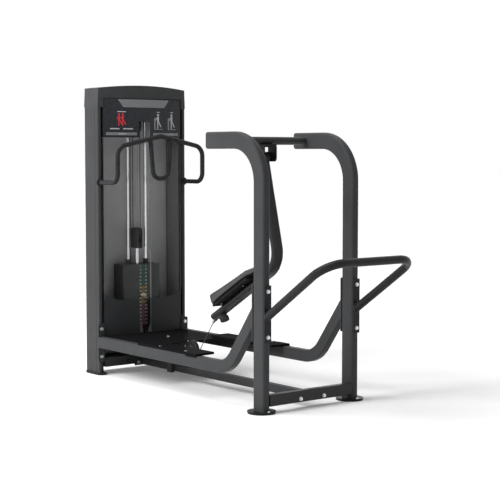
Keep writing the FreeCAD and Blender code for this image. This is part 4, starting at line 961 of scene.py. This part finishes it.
def arm_welds():
    """Weld beads where the lever's tube meets its hub."""
    shape = Sculpt()
    spread = math.asin(arm_half_depth / hub_radius)
    for turn in SIDES:
        angle = -math.pi / 2 + arm_tilt + turn * spread
        place = pivot + Vector((math.cos(angle), 0, math.sin(angle))) * (hub_radius + hub_weld_rise)
        bead(shape, straight(place - AXES[1] * hub_weld_half, place + AXES[1] * hub_weld_half), closed=False)
    piece("arm_welds", shape, [weld_paint], "kick_arm")


# Labels on the weight stack

def digits(text, height, centre, index, shape):
    """Flat numbers on a plane that faces +X, gathered into a shape."""
    curve = bpy.data.curves.new("digits", "FONT")
    curve.body = text
    curve.size = height
    curve.align_x = "CENTER"
    curve.align_y = "CENTER"
    curve.resolution_u = 3
    curve.offset = number_weight
    holder = bpy.data.objects.new("digits", curve)
    link(holder)
    graph = bpy.context.evaluated_depsgraph_get()
    mesh = bpy.data.meshes.new_from_object(holder.evaluated_get(graph))
    first = len(shape.verts)
    for vert in mesh.vertices:
        shape.verts.append(centre + AXES[1] * vert.co.x + AXES[2] * vert.co.y)
    for polygon in mesh.polygons:
        shape.faces.append((tuple(first + number for number in polygon.vertices), index))
    bpy.data.objects.remove(holder)
    bpy.data.curves.remove(curve)
    bpy.data.meshes.remove(mesh)


def load_band(load):
    """Which of the three load bands a plate belongs to, counted from the top of the stack."""
    return 0 if load <= green_loads else 1 if load <= yellow_loads else 2


def stack_labels(name, body, numbers):
    """Printed labels beside the pin holes: load bands in green, yellow and red, and plain numbers."""
    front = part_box("lifted_plates")[1].x
    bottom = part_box("resting_plates")[0].z
    pitch = (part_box("top_plate")[1].z - bottom) / plate_count
    shape = Sculpt()
    for number in numbers:
        height = bottom + (number + 0.5) * pitch
        load = plate_count - number
        band = load_band(load)
        for side in SIDES:
            across = label_shift + side * number_place
            back = Vector((front + label_thickness / 2, across, height))
            back_size = (label_thickness, label_width, pitch * label_share)
            shape.slab(back, AXES, back_size, label_edge, 2 * len(band_inks))
            strip = Vector((front + label_thickness / 2, label_shift + side * strip_place, height))
            strip_size = (label_thickness, strip_width, pitch * label_share)
            shape.slab(strip, AXES, strip_size, label_edge, 2 * band)
            value = load * plate_step_kg if side == NEAR else round(load * plate_step_kg * pounds_per_kg)
            place = Vector((front + label_thickness * 1.3, across, height))
            digits(str(value), number_size, place, 2 * band + 1, shape)
    materials = [ink for pair in band_inks for ink in pair] + [label_black]
    piece(name, shape, materials, body, smooth=False)


# Placard graphics

GREY_INK, PALE_INK, WHITE_INK, RED_INK, HEADER_INK = range(5)
placard_inks = [ink_grey, ink_pale, ink_white, ink_red, header_grey]
placard_bars = [
    # from, to, bottom, top, ink
    (-0.212, -0.148, 1.7555, 1.7595, WHITE_INK),
    (-0.264, -0.196, 1.6405, 1.6480, PALE_INK),
    (-0.168, -0.094, 1.6405, 1.6480, PALE_INK),
    (-0.293, -0.063, 1.6010, 1.6200, GREY_INK),
    (-0.206, -0.141, 1.6060, 1.6150, WHITE_INK),
    (0.069, 0.293, 1.6010, 1.6180, GREY_INK),
    (0.170, 0.250, 1.6055, 1.6130, WHITE_INK),
]
figure_bars = [
    # from, to, bottom, top, ink; the places across are measured from the figure
    (-0.034, -0.022, 1.644, 1.720, GREY_INK),
    (-0.034, 0.040, 1.640, 1.646, GREY_INK),
    (-0.010, 0.014, 1.7570, 1.7605, WHITE_INK),
]
figure_limbs = [
    # place and height of the low end, place and height of the high end, width: shares of the figure's height
    (-0.02, 0.0, -0.03, 0.46, 0.08),
    (0.26, 0.10, 0.05, 0.46, 0.09),
    (-0.20, 0.55, -0.10, 0.74, 0.06),
]
placard_low, placard_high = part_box("placard")
column_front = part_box("near_column")[1].x
front_half = placard_high.y
front_bulge = placard_high.x - column_front


def front_x(y):
    """How far forward the tower's bulged front lies at a place across it."""
    share = y / front_half
    return column_front + front_bulge * (1 - share * share)


def printed_patch(shape, y_start, y_end, low, high, index, proud=0.5 * MM):
    """A patch that follows the placard; low and high give its edges at a place across."""
    count = max(2, int((y_end - y_start) / (4 * MM)))
    rows = []
    for step in range(count + 1):
        y = y_start + (y_end - y_start) * step / count
        x = front_x(y)
        first = len(shape.verts)
        for lift in (0.0, proud):
            shape.verts.append(Vector((x + lift, y, low(y))))
            shape.verts.append(Vector((x + lift, y, high(y))))
        rows.append((first, first + 1, first + 3, first + 2))
    for before, after in zip(rows, rows[1:]):
        for a, b in ((0, 1), (1, 2), (2, 3), (3, 0)):
            shape.faces.append(((before[a], after[a], after[b], before[b]), index))
    shape.faces.append((rows[0], index))
    shape.faces.append((tuple(reversed(rows[-1])), index))


def bar(shape, y_start, y_end, bottom, top, index):
    """A printed bar."""
    printed_patch(shape, y_start, y_end, lambda y: bottom, lambda y: top, index)


def disc(shape, y, z, radius, index):
    """A printed disc."""
    def half_height(place):
        return math.sqrt(max(radius * radius - (place - y) ** 2, 1e-9))

    count = 12
    edges = [y - radius * math.cos(math.pi * step / count) for step in range(count + 1)]
    for start, end in zip(edges, edges[1:]):
        printed_patch(shape, start, end, lambda place: z - half_height(place),
                      lambda place: z + half_height(place), index)


def slanted(shape, y_low, z_low, y_high, z_high, width, index):
    """A printed limb: a slanted stroke of some width."""
    lean = (y_high - y_low) / (z_high - z_low)
    count = 8
    for step in range(count):
        bottom = z_low + (z_high - z_low) * step / count
        top = z_low + (z_high - z_low) * (step + 1) / count
        y = y_low + lean * ((bottom + top) / 2 - z_low)
        bar(shape, y - width / 2, y + width / 2, bottom, top, index)


def figure(shape, y, foot, height, index):
    """A plain standing figure with one leg swung back; its limbs are shares of its height."""
    disc(shape, y, foot + height * 0.91, height * 0.085, index)
    bar(shape, y - height * 0.075, y + height * 0.075, foot + height * 0.46, foot + height * 0.80, index)
    for low_place, low, high_place, high, width in figure_limbs:
        slanted(shape, y + height * low_place, foot + height * low, y + height * high_place,
                foot + height * high, height * width, index)


def placard_print():
    """Print on the instruction panel: a header plate, plain figures and bars."""
    shape = Sculpt()
    top = placard_high.z - header_margin

    def header_low(y):
        slope = max(0.0, (abs(y) - header_bottom_half) / (header_top_half - header_bottom_half))
        return top - header_depth * (1 - slope)

    printed_patch(shape, -header_top_half, header_top_half, header_low, lambda y: top + 0.5 * MM, HEADER_INK,
                  proud=1.0 * MM)
    for y in red_figures:
        figure(shape, y, red_figure_foot, red_figure_height, RED_INK)
    for start, end, low, high, ink in placard_bars:
        bar(shape, start, end, low, high, ink)
    for y in pale_figures:
        figure(shape, y, pale_figure_foot, pale_figure_height, PALE_INK)
        for start, end, low, high, ink in figure_bars:
            bar(shape, y + start, y + end, low, high, ink)
    piece("placard_print", shape, placard_inks, "frame", smooth=False)


def placard_studs():
    """Small press studs that hold the placard at its corners."""
    shape = Sculpt()
    for side in SIDES:
        for height in (placard_low.z + stud_rise, placard_high.z - stud_drop):
            y = side * (front_half - stud_inset)
            shape.lathe(Vector((front_x(y) - 1 * MM, y, height)), AXES[0], press_stud, sides=16)
    piece("placard_studs", shape, [looks["cap_plastic"]], "frame")


def upright_strip(shape, front, back, y, bottom, top, thick, index=0):
    """A thin upright strip on a wall that lies along X."""
    centre = Vector(((front + back) / 2, y, (bottom + top) / 2))
    shape.slab(centre, AXES, (front - back, thick, top - bottom), 0.1 * MM, index)


def tower_lining():
    """Thin pale grey sheets on the inner faces of the columns, beside the rear shield: painted light, lighter than
    the columns' paint, where these faces lie in shade.
    """
    shape = Sculpt()
    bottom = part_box("deck")[1].z + lining_margin
    top = placard_low.z - lining_margin
    for side, node in ((NEAR, "near_column"), (FAR, "far_column")):
        low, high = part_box(node)
        inner = high.y if side == NEAR else low.y
        centre = Vector(((low.x + high.x) / 2, inner - side * lining_offset, (bottom + top) / 2))
        size = (high.x - low.x - 2 * lining_setback, lining_thickness, top - bottom)
        shape.slab(centre, AXES, size, 0.3 * MM)
    piece("tower_lining", shape, [painted_light_lining_coat], "frame", smooth=False)


def shield_edges():
    """The cut edges of the clear sheets, as opaque pale strips: painted highlights where the edges catch the
    light.
    """
    shape = Sculpt()
    for side, node in ((NEAR, "near_shield"), (FAR, "far_shield")):
        low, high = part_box(node)
        place = (low.y if side == NEAR else high.y) - side * sheet_inset
        upright_strip(shape, front_x(place) + sheet_line, front_x(place) - 2 * sheet_line, place,
                      low.z + 5 * sheet_margin, high.z - sheet_margin, 3 * sheet_line)
    front = front_x(slot_half)
    back = front - slot_flange_depth
    y = slot_half - sheet_line
    cover_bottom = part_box("deck")[1].z + sheet_margin
    upright_strip(shape, front, back, y, low.z + sheet_margin, high.z - sheet_margin, sheet_line)
    upright_strip(shape, front, back, y, cover_bottom, low.z - sheet_margin, sheet_line, 1)
    piece("shield_edges", shape, [sheet_edge_highlight, cover_edge_highlight], "frame", smooth=False)


def foot_bolts():
    """The small bolts in the round feet of the posts."""
    shape = Sculpt()
    foot_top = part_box("floor_plates")[1].z
    post_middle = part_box("near_post")[1].x - post_half_depth
    for side in SIDES:
        for turn in SIDES:
            seat = Vector((post_middle, side * abs(middle("near_post").y), foot_top))
            seat += AXES[0] * (turn * foot_bolt_reach)
            shape.lathe(seat - AXES[2] * 1 * MM, AXES[2], foot_bolt, sides=12)
    piece("foot_bolts", shape, [looks["bolt_steel"]], "frame", smooth=False)


# Stage, light and camera

BACKGROUND_RAYS = ("Is Camera Ray", "Is Glossy Ray", "Is Transmission Ray")


def ray_switch(tree, kinds):
    """1 for some kinds of rays and 0 for the others."""
    path = add(tree, "LightPath")
    total = None
    for kind in kinds:
        if total is None:
            total = path.outputs[kind]
            continue
        either = add(tree, "Math", operation="MAXIMUM")
        tree.links.new(total, either.inputs[0])
        tree.links.new(path.outputs[kind], either.inputs[1])
        total = either.outputs[0]
    return total


def make_floor():
    """A pale floor that keeps the object's shadow and runs white into the background."""
    mesh = bpy.data.meshes.new("floor")
    corners = [(x * floor_reach, y * floor_reach, 0) for x, y in ((-1, -1), (1, -1), (1, 1), (-1, 1))]
    mesh.from_pydata(corners, [], [(0, 1, 2, 3)])
    floor = bpy.data.objects.new("floor", mesh)
    link(floor)
    material, tree, shader = surface("floor_paper", (0.93, 0.93, 0.93), 0.9)
    shader.inputs["Specular IOR Level"].default_value = 0.0
    glow = add(tree, "Emission")
    glow.inputs["Color"].default_value = (1, 1, 1, 1)
    place = add(tree, "TexCoord")
    away = add(tree, "VectorMath", operation="LENGTH")
    tree.links.new(place.outputs["Object"], away.inputs[0])
    level = remap(tree, away.outputs["Value"], floor_near, floor_far, near_glow, far_glow)
    tree.links.new(product(tree, ray_switch(tree, BACKGROUND_RAYS), level), glow.inputs["Strength"])
    both = add(tree, "AddShader")
    tree.links.new(shader.outputs["BSDF"], both.inputs[0])
    tree.links.new(glow.outputs["Emission"], both.inputs[1])
    output = next(node for node in tree.nodes if node.type == "OUTPUT_MATERIAL")
    tree.links.new(both.outputs["Shader"], output.inputs["Surface"])
    mesh.materials.append(material)


def make_world():
    """Soft light from all round; the camera and reflections see it white."""
    world = bpy.data.worlds.new("studio")
    bpy.context.scene.world = world
    world.use_nodes = True
    tree = world.node_tree
    tree.nodes.clear()
    soft = add(tree, "Background")
    soft.inputs["Strength"].default_value = ambient
    white = add(tree, "Background")
    white.inputs["Strength"].default_value = 1.0
    mix = add(tree, "MixShader")
    output = add(tree, "OutputWorld")
    tree.links.new(ray_switch(tree, BACKGROUND_RAYS), mix.inputs[0])
    tree.links.new(soft.outputs[0], mix.inputs[1])
    tree.links.new(white.outputs[0], mix.inputs[2])
    tree.links.new(mix.outputs[0], output.inputs["Surface"])
    for background in (soft, white):
        background.inputs["Color"].default_value = (1, 1, 1, 1)


def lamp(name, kind, place, target, power):
    """A lamp that shines from its place towards a target."""
    data = bpy.data.lights.new(name, kind)
    data.energy = power
    made = bpy.data.objects.new(name, data)
    made.location = place
    made.rotation_euler = (Vector(target) - Vector(place)).to_track_quat("-Z", "Y").to_euler()
    link(made)
    return made


def soft_box(name, place, target, width, height, power):
    """A large soft box that shiny surfaces don't mirror."""
    made = lamp(name, "AREA", place, target, power)
    made.data.shape = "RECTANGLE"
    made.data.size = width
    made.data.size_y = height
    made.visible_camera = False
    made.visible_glossy = False


def distant_lamp(name, place, spread, strength):
    """A lamp far away in the direction of a place."""
    made = lamp(name, "SUN", place, (0, 0, 0), strength)
    made.data.angle = math.radians(spread)


def make_camera():
    """The camera at the photo's place and angle."""
    data = bpy.data.cameras.new("camera")
    data.sensor_width = sensor_width
    data.lens = focal_pixels * sensor_width / photo_pixels
    data.clip_end = 200.0
    made = bpy.data.objects.new("camera", data)
    made.location = camera_place
    made.rotation_euler = (math.radians(camera_tilt), 0, math.radians(camera_turn))
    link(made)
    bpy.context.scene.camera = made


make_camera()
dress_solids()
make_pad()
arm_cable()
stack_strands()
frame_welds()
arm_welds()
stack_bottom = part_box("resting_plates")[0].z
lifted_share = (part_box("lifted_plates")[0].z - stack_bottom) / (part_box("top_plate")[1].z - stack_bottom)
first_lifted = round(lifted_share * plate_count)
stack_labels("resting_labels", "frame", range(first_lifted))
stack_labels("lifted_labels", joints["stack_lift"]["child"], range(first_lifted, plate_count))
placard_print()
placard_studs()
tower_lining()
shield_edges()
foot_bolts()

make_floor()
make_world()
soft_box("key", key_place, key_target, key_width, key_height, key_power)
distant_lamp("glint", glint_place, glint_spread, glint_strength)
distant_lamp("top", top_place, top_spread, top_strength)

bpy.context.scene.view_settings.view_transform = "Standard"
